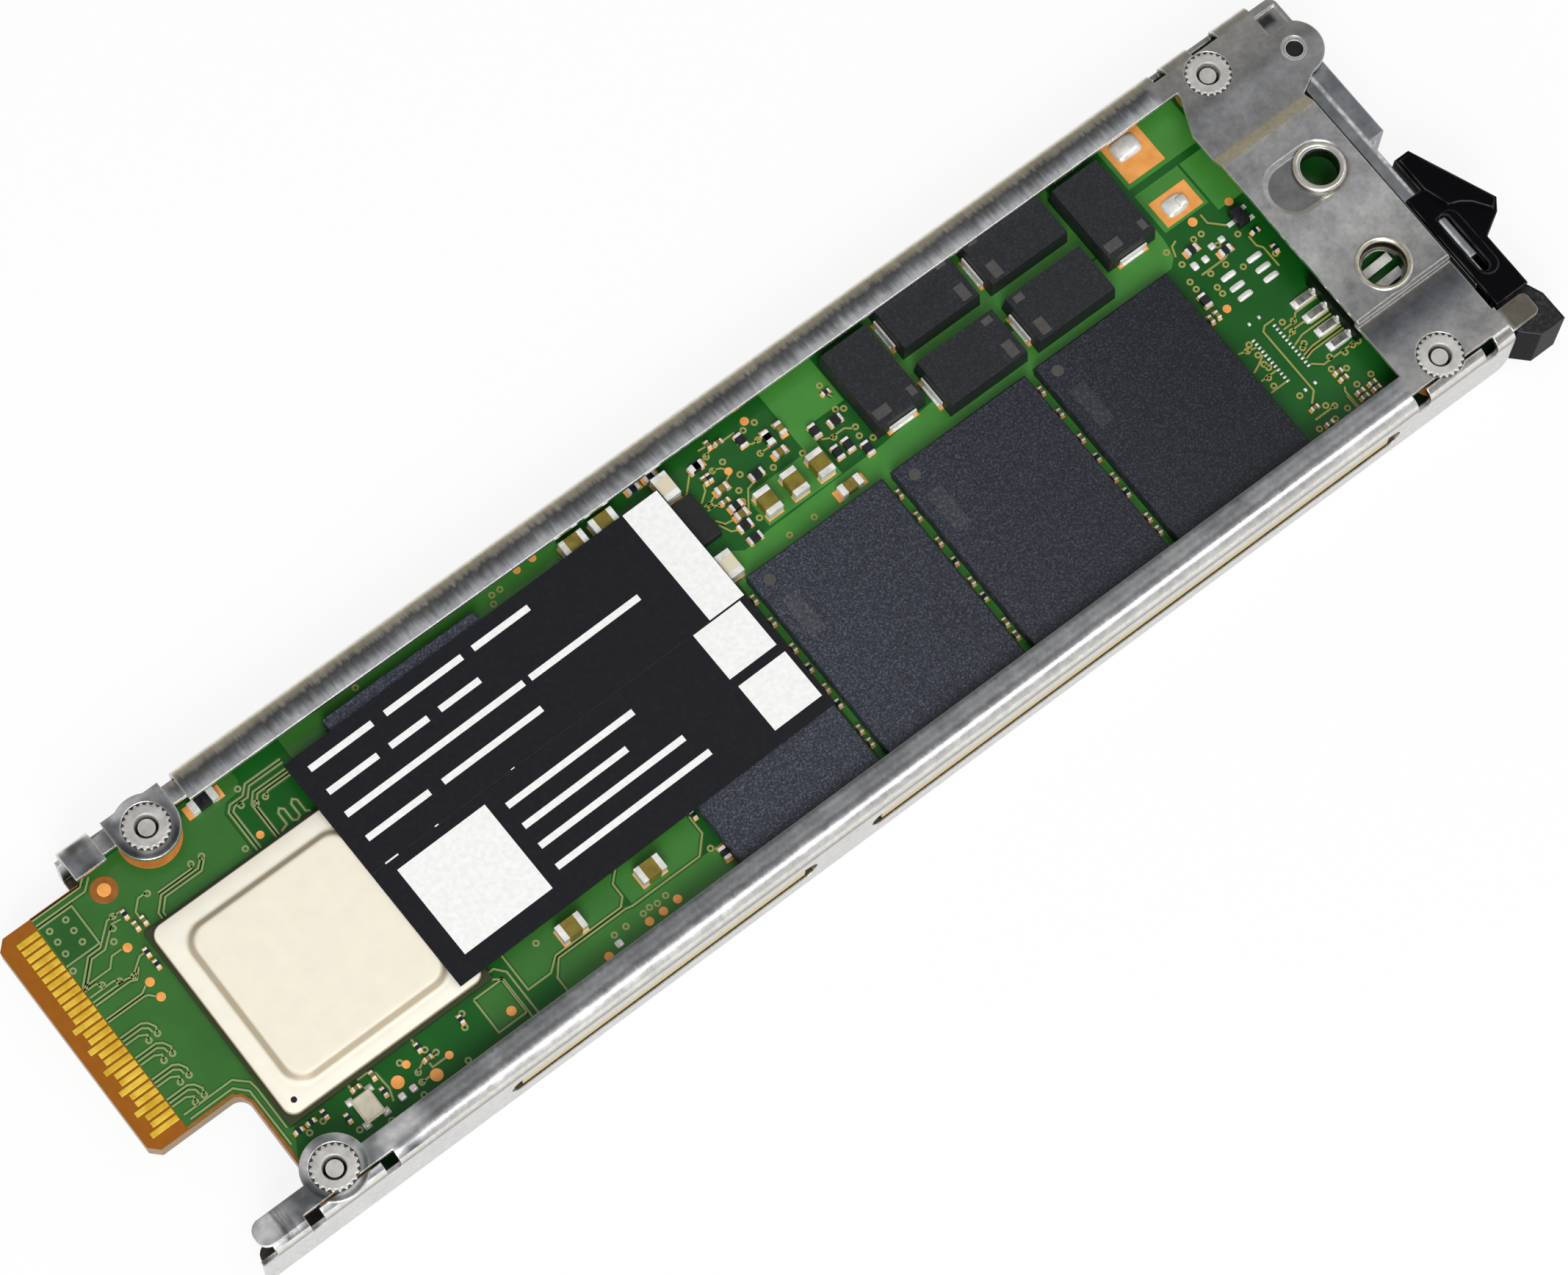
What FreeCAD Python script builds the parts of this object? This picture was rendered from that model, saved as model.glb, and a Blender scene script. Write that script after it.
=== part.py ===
import FreeCAD, Part
import math
import os
import re
import Sketcher

# Ruler-type solid state drive in a folded sheet-steel carrier.
# X is measured from the front of the card edge towards the handle, Y from the frame's centre line,
# Z from the surface that the frame rests on. All sizes are in millimetres.

SIZES = {
    # Board
    "service_length": 7.87,
    "board_thick": 1.57,
    "board_side_gap": 0.15,
    "board_ear_inset": 0.15,
    "under_depth": 2.43,
    "edge_tab_width": 18.55,
    "edge_tab_offset": 4.36,
    "edge_tab_depth": 7.4,
    "edge_tab_chamfer": 0.7,
    "notch_radius": 1.0,
    "contact_pitch": 0.6,
    "contact_width": 0.42,
    "contact_short": 1.75,
    "contact_long": 2.2,
    "contact_root": 2.9,
    "contact_thick": 0.04,
    # Frame of folded sheet
    "sheet_thick": 0.4,
    "lip_gap": 0.1,
    "lip_width": 2.65,
    "floor_lip": 1.2,
    "bend_radius": 1.0,
    "floor_bend": 0.6,
    "low_wall_start": 1.4,
    "low_bend_start": 2.6,
    "high_wall_start": 6.6,
    "wall_overrun": 0.2,
    "high_wall_overrun": 1.0,
    "low_wall_round_back": 1.3,
    "low_wall_round_front": 2.0,
    "high_lip_start": 16.4,
    "clip_start": 6.9,
    "clip_end": 9.4,
    "neck_inset": 0.8,
    "neck_width": 1.4,
    "neck_drop": 0.25,
    "prong_start": 1.9,
    "prong_gap": 0.6,
    "prong_radius": 0.9,
    "window_length": 1.15,
    "window_inset": 1.0,
    "window_drop": 0.45,
    "slit_width": 0.2,
    "slit_inset": 0.8,
    "slit_length": 7.4,
    "low_slit_start": 5.4,
    "slot_a_start": 22.0,
    "slot_a_end": 48.3,
    "slot_b_start": 53.1,
    "slot_b_setback": 10.15,
    "slot_clear": 0.2,
    # Front bridge, placed from its front edge
    "bridge_setback": 0.49,
    "bridge_depth": 8.5,
    "corner_overrun": 1.28,
    "corner_inset": 0.75,
    "corner_radius": 0.7,
    "panel_rise": 0.6,
    "panel_high": 6.7,
    "panel_low": 8.62,
    "panel_round": 0.35,
    "ramp_run": 1.0,
    "nose_back": 1.25,
    "nose_inset": 2.98,
    "nose_drop": 2.98,
    "front_tab_reach": 2.7,
    "front_tab_inset": 0.4,
    "front_tab_width": 1.9,
    "front_tab_radius": 0.5,
    "pivot_inset": 5.01,
    "ear_radius": 2.2,
    "collar_hole_setback": 3.0,
    "collar_hole_y": 2.4,
    "collar_hole_radius": 1.45,
    "collar_wall": 0.45,
    "collar_rise": 0.15,
    "dish_radius": 2.2,
    "dish_run": 2.4,
    "dish_depth": 0.2,
    "dish_slope": 0.35,
    "pocket_setback": 0.3,
    "pocket_inset": 0.65,
    "pocket_length": 1.8,
    "pocket_width": 1.7,
    "pocket_depth": 0.25,
    "drawn_hole_setback": 4.1,
    "drawn_hole_y": -6.1,
    "drawn_hole_radius": 1.5,
    "drawn_rim_radius": 1.95,
    "drawn_depth": 0.8,
    # Clinch nuts and their screws
    "nut_radius": 1.72,
    "knurl_depth": 0.14,
    "nut_proud": 0.05,
    "nut_fit": 0.02,
    "nut_barrel": 1.25,
    "nut_bore": 0.85,
    "nut_tab_margin": 0.68,
    "screw_radius": 0.62,
    "screw_recess": 0.3,
    "screw_head_radius": 1.35,
    "screw_head_height": 0.8,
    "screw_socket_radius": 0.55,
    "screw_socket_depth": 0.45,
    "screw_hole": 0.9,
    "nut_a_from_edge": 12.9,
    "nut_a_inset": 2.4,
    "nut_b_from_edge": 9.0,
    "nut_b_inset": 2.4,
    "nut_c_setback": 4.5,
    "nut_c_inset": 2.8,
    "nut_d_setback": 5.2,
    "nut_d_inset": 2.15,
    # Handle, its pin and the release latch, placed from the handle's back edge
    "handle_board_gap": 0.16,
    "handle_gap": 0.45,
    "handle_thick": 0.8,
    "handle_depth": 2.42,
    "pivot_depth": 1.12,
    "handle_eye_radius": 2.0,
    "handle_shoulder": 2.2,
    "flange_thick": 0.6,
    "flange_foot": 0.9,
    "flange_setback": 2.39,
    "arm_width": 1.1,
    "arm_margin": 2.2,
    "lug_start": 5.6,
    "lug_length": 3.6,
    "lug_width": 0.65,
    "lug_rise": 0.3,
    "pin_radius": 0.95,
    "pin_bore": 0.65,
    "pin_clear": 0.05,
    "pin_recess": 0.05,
    "pin_head_radius": 1.5,
    "pin_head_height": 0.45,
    "slide_clear": 0.1,
    "latch_skin": 0.45,
    "latch_foot": 1.2,
    "latch_depth": 2.85,
    "latch_high": 3.1,
    "latch_inset": 2.7,
    "latch_travel": 1.5,
    "hook_back": 1.29,
    "hook_top": 0.2,
    "hook_top_depth": 2.6,
    "hook_tip_reach": 5.35,
    "hook_tip_low": 6.8,
    "hook_heel_reach": 4.65,
    "hook_heel_low": 7.7,
    "hook_root_low": 8.7,
    "guide_slot_back": 0.75,
    "guide_slot_width": 1.25,
    "tongue_depth": 3.35,
    "tongue_reach": 0.9,
    "tongue_gap": 0.3,
    "tongue_foot": 0.6,
    "tongue_chamfer": 1.2,
    # Packages on the board
    "flash_width": 12.0,
    "flash_length": 18.0,
    "flash_height": 1.35,
    "flash_gap": 0.91,
    "flash_first": 43.9,
    "flash_edge_gap": 0.55,
    "package_chamfer": 0.08,
    "memory_x": 27.1,
    "memory_inset": 2.55,
    "memory_length": 13.1,
    "memory_width": 8.0,
    "memory_height": 1.2,
    "controller_x": 17.0,
    "controller_y": -0.5,
    "substrate_width": 17.0,
    "substrate_thick": 0.5,
    "lid_margin": 0.275,
    "lid_corner": 0.9,
    "lid_flange": 0.5,
    "plateau_margin": 1.575,
    "plateau_rise": 0.4,
    "plateau_slope": 0.25,
    "plateau_shift": -0.1,
    "tantalum_first": 70.8,
    "tantalum_gap": 0.7,
    "tantalum_row_gap": 1.15,
    "tantalum_edge_gap": 1.35,
    "tantalum_end_inset": 5.8,
    "tantalum_flash_gap": 1.05,
    "tantalum_length": 7.3,
    "tantalum_width": 4.3,
    "tantalum_height": 1.9,
    "tantalum_draft": 0.12,
    "tantalum_lead_width": 2.4,
    "tantalum_lead_thick": 0.15,
    "tantalum_lead_height": 0.9,
    "placement_grid": 0.05,
    "ceramic_length": 2.0,
    "ceramic_width": 1.25,
    "ceramic_height": 1.2,
    "ceramic_band": 0.45,
    "resistor_length": 1.1,
    "resistor_width": 0.6,
    "resistor_height": 0.4,
    "resistor_band": 0.22,
    "power_x": 55.4,
    "power_inset": 6.5,
    "power_width": 2.2,
    "power_length": 3.7,
    "power_height": 0.8,
    "clock_x": 13.5,
    "clock_inset": 4.35,
    "clock_length": 1.6,
    "clock_width": 2.0,
    "clock_height": 0.55,
    "clock_rim": 0.12,
    # Spring contact block under the bridge
    "block_y": -6.0,
    "block_depth": 2.3,
    "block_margin": 0.45,
    "block_height": 1.3,
    "spring_pitch": 1.33,
    "spring_width": 0.7,
    "spring_thick": 0.2,
    "spring_tail": 1.9,
    "spring_reach": 3.6,
    "spring_rise": 0.7,
    "spring_clear": 0.05,
    # Labels
    "label_x": 23.3,
    "label_low": -8.4,
    "label_length": 32.7,
    "label_upper_width": 9.95,
    "label_lower_width": 10.05,
    "label_thick": 0.12,
    "label_turn": 0.85,
}

FLASH_ROW = 4

# Levels and places that follow from the sizes above
DERIVED = {
    "flash_strip": "flash_edge_gap + flash_length + tantalum_flash_gap",
    "half_body": "(flash_strip + 2 * tantalum_width + tantalum_row_gap + tantalum_edge_gap) / 2",
    "half_frame": "half_body + board_side_gap + sheet_thick",
    "half_ears": "half_frame - board_ear_inset",
    "lip_clear": "tantalum_height + lip_gap",
    "board_top": "under_depth + board_thick",
    "lip_under": "board_top + lip_clear",
    "lip_top": "lip_under + sheet_thick",
    "wall_top": "lip_top - bend_radius",
    "panel_top": "lip_top + panel_rise",
    "edge_tab_high": "edge_tab_offset + edge_tab_width / 2",
    "edge_tab_low": "edge_tab_offset - edge_tab_width / 2",
    "flash_pitch": "flash_width + flash_gap",
    "flash_end": "flash_first + %d * flash_pitch - flash_gap" % FLASH_ROW,
    "bridge_start": "flash_end + service_length",
    "bridge_end": "bridge_start + bridge_depth",
    "board_length": "bridge_end + bridge_setback",
    "bridge_edge": "half_frame - bend_radius",
    "corner_edge": "half_frame - corner_inset",
    "nose_high": "half_frame - nose_inset",
    "nose_low": "nose_high - nose_drop",
    "front_tab_low": "half_frame - front_tab_inset",
    "front_tab_high": "front_tab_low - front_tab_width",
    "wall_end": "bridge_end + wall_overrun",
    "high_wall_end": "bridge_end + high_wall_overrun",
    "front_slit_start": "bridge_start - window_length / 4",
    "slot_b_end": "bridge_end - slot_b_setback",
    "slot_radius": "board_thick / 2 + slot_clear",
    "collar_hole_x": "bridge_end - collar_hole_setback",
    "drawn_hole_x": "bridge_end - drawn_hole_setback",
    "nut_tab_radius": "nut_radius + nut_tab_margin",
    "nut_a_x": "nut_a_from_edge",
    "nut_b_x": "nut_b_from_edge",
    "nut_c_x": "bridge_end - nut_c_setback",
    "nut_d_x": "bridge_end - nut_d_setback",
    "nut_a_y": "half_frame - nut_a_inset",
    "nut_b_y": "nut_b_inset - half_frame",
    "nut_c_y": "half_frame - nut_c_inset",
    "nut_d_y": "nut_d_inset - half_frame",
    "handle_back": "board_length + handle_board_gap",
    "handle_front": "handle_back + handle_depth",
    "pivot_x": "handle_back + pivot_depth",
    "pivot_y": "half_frame - pivot_inset",
    "flange_high": "pivot_y - flange_setback",
    "latch_low": "half_frame - latch_inset",
    "arm_end": "latch_low - arm_margin",
    "handle_top": "lip_under - handle_gap",
    "handle_under": "handle_top - handle_thick",
    "latch_front": "handle_back + latch_depth",
    "latch_top": "handle_top + slide_clear + latch_skin",
    "hook_tip": "handle_back + hook_tip_reach",
    "tongue_front": "handle_back + tongue_depth",
    "guide_slot_x": "handle_back + guide_slot_back",
    "flash_low": "flash_edge_gap - half_body",
    "memory_high": "half_body - memory_inset",
    "power_y": "half_body - power_inset",
    "clock_y": "clock_inset - half_body",
    "tantalum_row_low": "flash_strip - half_body + tantalum_width / 2",
    "tantalum_row_high": "half_body - tantalum_edge_gap - tantalum_width / 2",
    "tantalum_row_end": "half_body - tantalum_end_inset",
    "tantalum_x_a": "tantalum_first + tantalum_width / 2",
    "tantalum_x_b": "tantalum_first + tantalum_width + tantalum_gap + tantalum_length / 2",
    "tantalum_x_c": "tantalum_x_b + tantalum_length + tantalum_gap",
    "tantalum_x_d": "tantalum_x_c + tantalum_length / 2 + tantalum_gap + tantalum_width / 2",
    "lid_width": "substrate_width - 2 * lid_margin",
    "plateau_width": "lid_width - 2 * plateau_margin",
    "lid_under": "board_top + substrate_thick",
    "lid_top": "lid_under + lid_flange + plateau_rise",
    "label_level": "max(lid_top, board_top + flash_height, board_top + memory_height)",
    "block_length": "3 * spring_pitch + spring_width + 2 * block_margin",
    "card_edge": "-hook_tip / 2",
    "frame_line": "tongue_reach / 2",
}

FINGERS = 28
LONG_FINGERS = range(13, FINGERS + 1, 3)
KNURL_TEETH = 8
SPRINGS = 4
NUTS = ("a", "b", "c", "d")
SIDES = {"low": -1, "high": 1}
ALONG = FreeCAD.Vector(1, 0, 0)
ACROSS = FreeCAD.Vector(0, 1, 0)
UP = FreeCAD.Vector(0, 0, 1)
LEVEL_TOLERANCE = 1e-6

# Places of the backup capacitors: X, Y and quarter turns
TANTALUMS = (
    ("tantalum_x_a", "tantalum_row_end", 1),
    ("tantalum_x_b", "tantalum_row_low", 0),
    ("tantalum_x_c", "tantalum_row_low", 0),
    ("tantalum_x_b", "tantalum_row_high", 0),
    ("tantalum_x_c", "tantalum_row_high", 0),
    ("tantalum_x_d", "tantalum_row_end", 1),
)
# Places of the chip parts on the placement grid, by where X is counted from: steps along X, steps in
# from the board's high edge, quarter turns
CERAMICS = {"0": (
    (1231, 170, 1),
    (1278, 170, 1),
    (1324, 170, 1),
    (976, 56, 0),
    (1029, 55, 0),
    (637, 497, 0),
    (773, 497, 0),
    (1129, 66, 1),
    (1129, 212, 1),
)}
RESISTORS = {"0": (
    (345, 42, 0),
    (1183, 65, 0),
    (1186, 176, 0),
    (1186, 199, 0),
    (1246, 125, 0),
    (1259, 71, 1),
    (1292, 92, 1),
    (1351, 123, 1),
    (1384, 128, 0),
    (1357, 168, 1),
    (1376, 168, 1),
    (1395, 189, 1),
), "flash_end": (
    (25, 304, 1),
)}

doc = FreeCAD.newDocument("solid_state_drive")
sheet = doc.addObject("Spreadsheet::Sheet", "Sizes")
for row, (size_name, size_value) in enumerate(SIZES.items(), 1):
    sheet.set("A%d" % row, size_name)
    sheet.set("B%d" % row, str(size_value))
    sheet.setAlias("B%d" % row, size_name)
doc.recompute()


def bind(text):
    """Turn a formula in size names into one that points at the sheet's cells."""

    def swap(match):
        word = match.group(0)
        if word in DERIVED:
            return "(" + bind(DERIVED[word]) + ")"
        return "Sizes." + word if word in SIZES else word

    return re.sub(r"[a-z][a-z0-9_]*", swap, str(text))


def value(text):
    """The present number of a formula in size names."""
    return float(sheet.evalExpression(bind(text)))


def place(obj, x, y, z):
    """Bind an object's position, given from the card edge, the centre line and the rest surface."""
    obj.setExpression("Placement.Base.x", bind("card_edge + (%s)" % x))
    obj.setExpression("Placement.Base.y", bind("frame_line + (%s)" % y))
    obj.setExpression("Placement.Base.z", bind(z))
    return obj


def shift(obj, **steps):
    """Bind a master's offset from the point that its copies are placed by."""
    for axis, formula in steps.items():
        obj.setExpression("Placement.Base." + axis, bind(formula))
    return obj


def bound(kind, name, **sizes):
    """A document object whose properties follow formulas in size names."""
    obj = doc.addObject(kind, name)
    for key, formula in sizes.items():
        obj.setExpression(key, bind(formula))
    return obj


def box(name, x, y, z, length, width, height):
    """A box from its lowest corner."""
    return place(bound("Part::Box", name, Length=length, Width=width, Height=height), x, y, z)


def cylinder(name, x, y, z, radius, height):
    """An upright cylinder from the centre of its foot."""
    return place(bound("Part::Cylinder", name, Radius=radius, Height=height), x, y, z)


def fuse(name, shapes):
    """One solid joined from several."""
    obj = doc.addObject("Part::MultiFuse", name)
    obj.Shapes = shapes
    obj.Refine = True
    return obj


def cut(name, base, tools):
    """A solid less one or more tools."""
    obj = doc.addObject("Part::Cut", name)
    obj.Base = base
    obj.Tool = tools[0] if len(tools) == 1 else fuse(name + "_tools", tools)
    obj.Refine = True
    return obj


def common(name, first, second):
    """What two solids share."""
    obj = doc.addObject("Part::Common", name)
    obj.Base = first
    obj.Tool = second
    obj.Refine = True
    return obj


def group(name, shapes):
    """Separate solids of one kind, kept in one object."""
    obj = doc.addObject("Part::Compound", name)
    obj.Links = shapes
    return obj


def corner_ends(corners, points, index):
    """The one point of a sharp corner, or the two tangent points of a rounded square corner."""
    x, y, radius = corners[index]
    px, py = points[index]
    if not radius:
        return [(x, y, px, py)]
    reach = value(radius)
    ends = []
    for other in (points[index - 1], points[(index + 1) % len(points)]):
        dx, dy = other[0] - px, other[1] - py
        if abs(dx) < abs(dy):
            step = math.copysign(1, dy)
            ends.append((x, "%s + %d * (%s)" % (y, step, radius), px, py + step * reach))
        else:
            step = math.copysign(1, dx)
            ends.append(("%s + %d * (%s)" % (x, step, radius), y, px + step * reach, py))
    return ends


def pin_point(sketch, line, end, x, y):
    """Hold one end of a sketch line at two formulas."""
    for kind, formula in (("DistanceX", x), ("DistanceY", y)):
        index = sketch.addConstraint(Sketcher.Constraint(kind, -1, 1, line, end, value(formula)))
        sketch.setExpression("Constraints[%d]" % index, bind(formula))


def round_corner(sketch, before, after, ends, point, radius):
    """Join two sketch lines with an arc of a bound radius."""
    (_, _, ax, ay), (_, _, bx, by) = ends
    cx, cy = ax + bx - point[0], ay + by - point[1]
    reach = value(radius)
    share = reach / math.hypot(point[0] - cx, point[1] - cy)
    mid = FreeCAD.Vector(cx + (point[0] - cx) * share, cy + (point[1] - cy) * share, 0)
    start = FreeCAD.Vector(ax, ay, 0)
    arc = sketch.addGeometry(Part.Arc(start, mid, FreeCAD.Vector(bx, by, 0)), False)
    first = 1 if (sketch.getPoint(arc, 1) - start).Length < reach / 100 else 2
    sketch.addConstraint(Sketcher.Constraint("Coincident", before, 2, arc, first))
    sketch.addConstraint(Sketcher.Constraint("Coincident", after, 1, arc, 3 - first))
    index = sketch.addConstraint(Sketcher.Constraint("Radius", arc, reach))
    sketch.setExpression("Constraints[%d]" % index, bind(radius))


def outline(name, corners):
    """A closed sketch through corners given as (x, y, radius) formulas; no radius is a sharp corner."""
    sketch = doc.addObject("Sketcher::SketchObject", name)
    points = [(value(x), value(y)) for x, y, _ in corners]
    ends = [corner_ends(corners, points, index) for index in range(len(corners))]
    lines = []
    for index in range(len(corners)):
        start = ends[index][-1]
        stop = ends[(index + 1) % len(corners)][0]
        segment = Part.LineSegment(FreeCAD.Vector(*start[2:], 0), FreeCAD.Vector(*stop[2:], 0))
        line = sketch.addGeometry(segment, False)
        pin_point(sketch, line, 1, start[0], start[1])
        if len(ends[(index + 1) % len(corners)]) == 2:
            pin_point(sketch, line, 2, stop[0], stop[1])
        lines.append(line)
    for index, (_, _, radius) in enumerate(corners):
        before, after = lines[index - 1], lines[index]
        if radius:
            round_corner(sketch, before, after, ends[index], points[index], radius)
        else:
            sketch.addConstraint(Sketcher.Constraint("Coincident", before, 2, after, 1))
    return sketch


def extrude(name, sketch, direction, length):
    """A solid drawn out of a sketch."""
    obj = doc.addObject("Part::Extrusion", name)
    obj.Base = sketch
    obj.DirMode = "Custom"
    obj.Dir = direction
    obj.Solid = True
    obj.setExpression("LengthFwd", bind(length))
    return obj


def plate(name, corners, z, height):
    """A flat piece from its plan outline."""
    sketch = place(outline(name + "_plan", corners), "0", "0", z)
    return extrude(name, sketch, UP, height)


def section(name, corners, start, end):
    """A straight piece from its cross-section in Y and Z."""
    sketch = outline(name + "_section", corners)
    sketch.Placement.Rotation = FreeCAD.Rotation(ACROSS, UP, ALONG, "XYZ")
    place(sketch, start, "0", "0")
    return extrude(name, sketch, ALONG, "(%s) - (%s)" % (end, start))


def copies(name, master, places):
    """Linked copies of a master at (x, y, z, quarter turns)."""
    links = []
    for index, (x, y, z, turns) in enumerate(places, 1):
        link = doc.addObject("App::Link", "%s_%d" % (name, index))
        link.LinkedObject = master
        link.LinkTransform = False
        link.Placement.Rotation = FreeCAD.Rotation(UP, 90 * turns)
        links.append(place(link, x, y, z))
    return links


def top_chamfer(name, base, size):
    """Break the top edges of a solid."""
    doc.recompute()
    solid = base.Shape
    level = solid.BoundBox.ZMax - LEVEL_TOLERANCE
    edges = [number for number, edge in enumerate(solid.Edges, 1) if edge.BoundBox.ZMin > level]
    obj = doc.addObject("Part::Chamfer", name)
    obj.Base = base
    obj.Edges = [(number, value(size), value(size)) for number in edges]
    return obj


def package(name, x, y, z, length, width, height):
    """A moulded chip package with broken top edges."""
    return top_chamfer(name, box(name + "_block", x, y, z, length, width, height), "package_chamfer")


def across(side, inset):
    """A place in Y, given by its depth inside one of the frame's outer faces."""
    return "%d * (half_frame - (%s))" % (SIDES[side], inset)


def rail(name, side, start, end):
    """A stretch of C rail: rounded top lip, side wall and floor lip."""
    return section(name, (
        (across(side, "floor_lip"), "0", ""),
        (across(side, "0"), "0", "floor_bend"),
        (across(side, "0"), "lip_top", "bend_radius"),
        (across(side, "lip_width"), "lip_top", ""),
        (across(side, "lip_width"), "lip_under", ""),
        (across(side, "sheet_thick"), "lip_under", "bend_radius - sheet_thick"),
        (across(side, "sheet_thick"), "sheet_thick", "floor_bend - sheet_thick"),
        (across(side, "floor_lip"), "sheet_thick", ""),
    ), start, end)


def wall(name, side, start, end, top):
    """A stretch of side wall with its floor lip and no top bend."""
    return section(name, (
        (across(side, "floor_lip"), "0", ""),
        (across(side, "0"), "0", "floor_bend"),
        (across(side, "0"), top, ""),
        (across(side, "sheet_thick"), top, ""),
        (across(side, "sheet_thick"), "sheet_thick", "floor_bend - sheet_thick"),
        (across(side, "floor_lip"), "sheet_thick", ""),
    ), start, end)


def bridge():
    """The front bridge: its folded section from side to side, trimmed to its plan outline."""
    folded = section("bridge_fold", (
        ("corner_edge", "lip_top", ""),
        ("corner_edge", "lip_under", ""),
        ("panel_high + ramp_run", "lip_under", ""),
        ("panel_high", "lip_under + panel_rise", ""),
        ("-panel_low + sheet_thick", "lip_under + panel_rise", ""),
        ("-panel_low + sheet_thick", "lip_under", ""),
        ("-front_tab_low", "lip_under", ""),
        ("-front_tab_low", "lip_top", ""),
        ("-panel_low", "lip_top", ""),
        ("-panel_low", "panel_top", "panel_round"),
        ("panel_high", "panel_top", ""),
        ("panel_high + ramp_run", "lip_top", ""),
    ), "bridge_start", "pivot_x + 2 * ear_radius")
    trim = plate("bridge_trim", (
        ("bridge_start", "-bridge_edge", ""),
        ("wall_end", "-bridge_edge", ""),
        ("wall_end", "-front_tab_low", ""),
        ("bridge_end + front_tab_reach", "-front_tab_low", "front_tab_radius"),
        ("bridge_end + front_tab_reach", "-front_tab_high", "front_tab_radius"),
        ("bridge_end", "-front_tab_high", ""),
        ("bridge_end", "panel_high + ramp_run", ""),
        ("pivot_x", "pivot_y - ear_radius", ""),
        ("pivot_x + corner_overrun", "pivot_y", ""),
        ("pivot_x + corner_overrun", "corner_edge", "corner_radius"),
        ("high_wall_end", "corner_edge", ""),
        ("high_wall_end", "bridge_edge", ""),
        ("bridge_start + nose_back", "bridge_edge", ""),
        ("bridge_start + nose_back", "nose_high", ""),
        ("bridge_start", "nose_low", ""),
    ), "0", "panel_top")
    ear = cylinder("bridge_ear", "pivot_x", "pivot_y", "0", "ear_radius", "panel_top")
    return common("bridge", folded, fuse("bridge_outline", [trim, ear]))


def nut_tab(name, letter):
    """A round tab that carries one clinch nut."""
    return cylinder(name, "nut_%s_x" % letter, "nut_%s_y" % letter, "lip_under",
                    "nut_tab_radius", "sheet_thick")


def frame_blank():
    """The folded sheet before its holes."""
    prong = plate("low_prong", (
        ("prong_start", across("low", "prong_gap"), "prong_radius"),
        ("low_slit_start", across("low", "prong_gap"), ""),
        ("low_slit_start", across("low", "lip_width"), ""),
        ("prong_start", across("low", "lip_width"), "prong_radius"),
    ), "lip_under", "sheet_thick")
    tab = box("high_tab", "nut_a_x - nut_tab_radius", "nut_a_y", "lip_under",
              "2 * nut_tab_radius", "half_frame - nut_a_y - prong_gap / 2", "sheet_thick")
    neck = box("high_neck", "clip_end - neck_drop", across("high", "neck_inset + neck_width"),
               "lip_under - neck_drop", "high_lip_start - clip_end + 2 * neck_drop",
               "neck_width", "sheet_thick")
    return [
        bridge(),
        rail("low_rail", "low", "low_bend_start", "wall_end"),
        wall("low_wall_tip", "low", "low_wall_start", "low_bend_start", "wall_top"),
        prong,
        nut_tab("low_tab", "b"),
        rail("high_rail", "high", "high_lip_start", "high_wall_end"),
        wall("high_wall_back", "high", "high_wall_start", "high_lip_start", "board_top"),
        rail("high_clip", "high", "clip_start", "clip_end"),
        nut_tab("high_tab_round", "a"),
        tab,
        neck,
    ]


def wall_slots():
    """Long round-ended slots in both walls, which take the board's ears."""
    tools = []
    level = "under_depth + board_thick / 2"
    for side, sign in SIDES.items():
        inner = "%d * (half_frame - sheet_thick / 2) - sheet_thick" % sign
        for letter in ("a", "b"):
            name = "slot_%s_%s" % (side, letter)
            start = "slot_%s_start + slot_radius" % letter
            end = "slot_%s_end - slot_radius" % letter
            shapes = [box(name, start, inner, level + " - slot_radius", "(%s) - (%s)" % (end, start),
                          "2 * sheet_thick", "2 * slot_radius")]
            for which, x in (("back", start), ("front", end)):
                tip = bound("Part::Cylinder", name + "_" + which, Radius="slot_radius",
                            Height="2 * sheet_thick")
                tip.Placement.Rotation = FreeCAD.Rotation(ALONG, -90)
                shapes.append(place(tip, x, inner, level))
            tools.append(fuse(name + "_tool", shapes))
    return tools


def bend_relief(name, side, start, end):
    """A square window through a rail's top bend."""
    edge = across(side, "window_inset") if side == "high" else across(side, "0") + " - sheet_thick"
    return box(name, start, edge, "wall_top - window_drop", "(%s) - (%s)" % (end, start),
               "window_inset + sheet_thick", "lip_top")


def slit_reliefs(name, start):
    """A slit that frees the low lip from its bend, with a window at each end."""
    end = start + " + slit_length"
    slit = box(name + "_slit", start, across("low", "slit_inset"), "wall_top",
               "slit_length", "slit_width", "lip_top")
    return [
        slit,
        bend_relief(name + "_window_back", "low", start, start + " + window_length"),
        bend_relief(name + "_window_front", "low", end + " - window_length", end),
    ]


def wall_round(name, edge_x, radius, toward_front):
    """A tool that rounds a lower end corner of the low wall."""
    outer = across("low", "0") + " - sheet_thick"
    block_x = "%s - %s" % (edge_x, radius) if toward_front else edge_x
    centre_x = block_x if toward_front else "%s + %s" % (edge_x, radius)
    width = "floor_lip + 2 * sheet_thick"
    block = box(name + "_block", block_x, outer, "-sheet_thick", radius, width, radius + " + sheet_thick")
    roller = bound("Part::Cylinder", name + "_roller", Radius=radius, Height=width)
    roller.Placement.Rotation = FreeCAD.Rotation(ALONG, -90)
    place(roller, centre_x, outer, radius)
    return cut(name, block, [roller])


def funnel(name, wall_thick):
    """The inner or outer form of the hole that is drawn down out of the panel."""
    cone = bound("Part::Cone", name, Radius1="drawn_hole_radius + " + wall_thick,
                 Radius2="drawn_rim_radius + " + wall_thick, Height="sheet_thick + drawn_depth")
    return place(cone, "drawn_hole_x", "drawn_hole_y", "panel_top - sheet_thick - drawn_depth")


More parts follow.
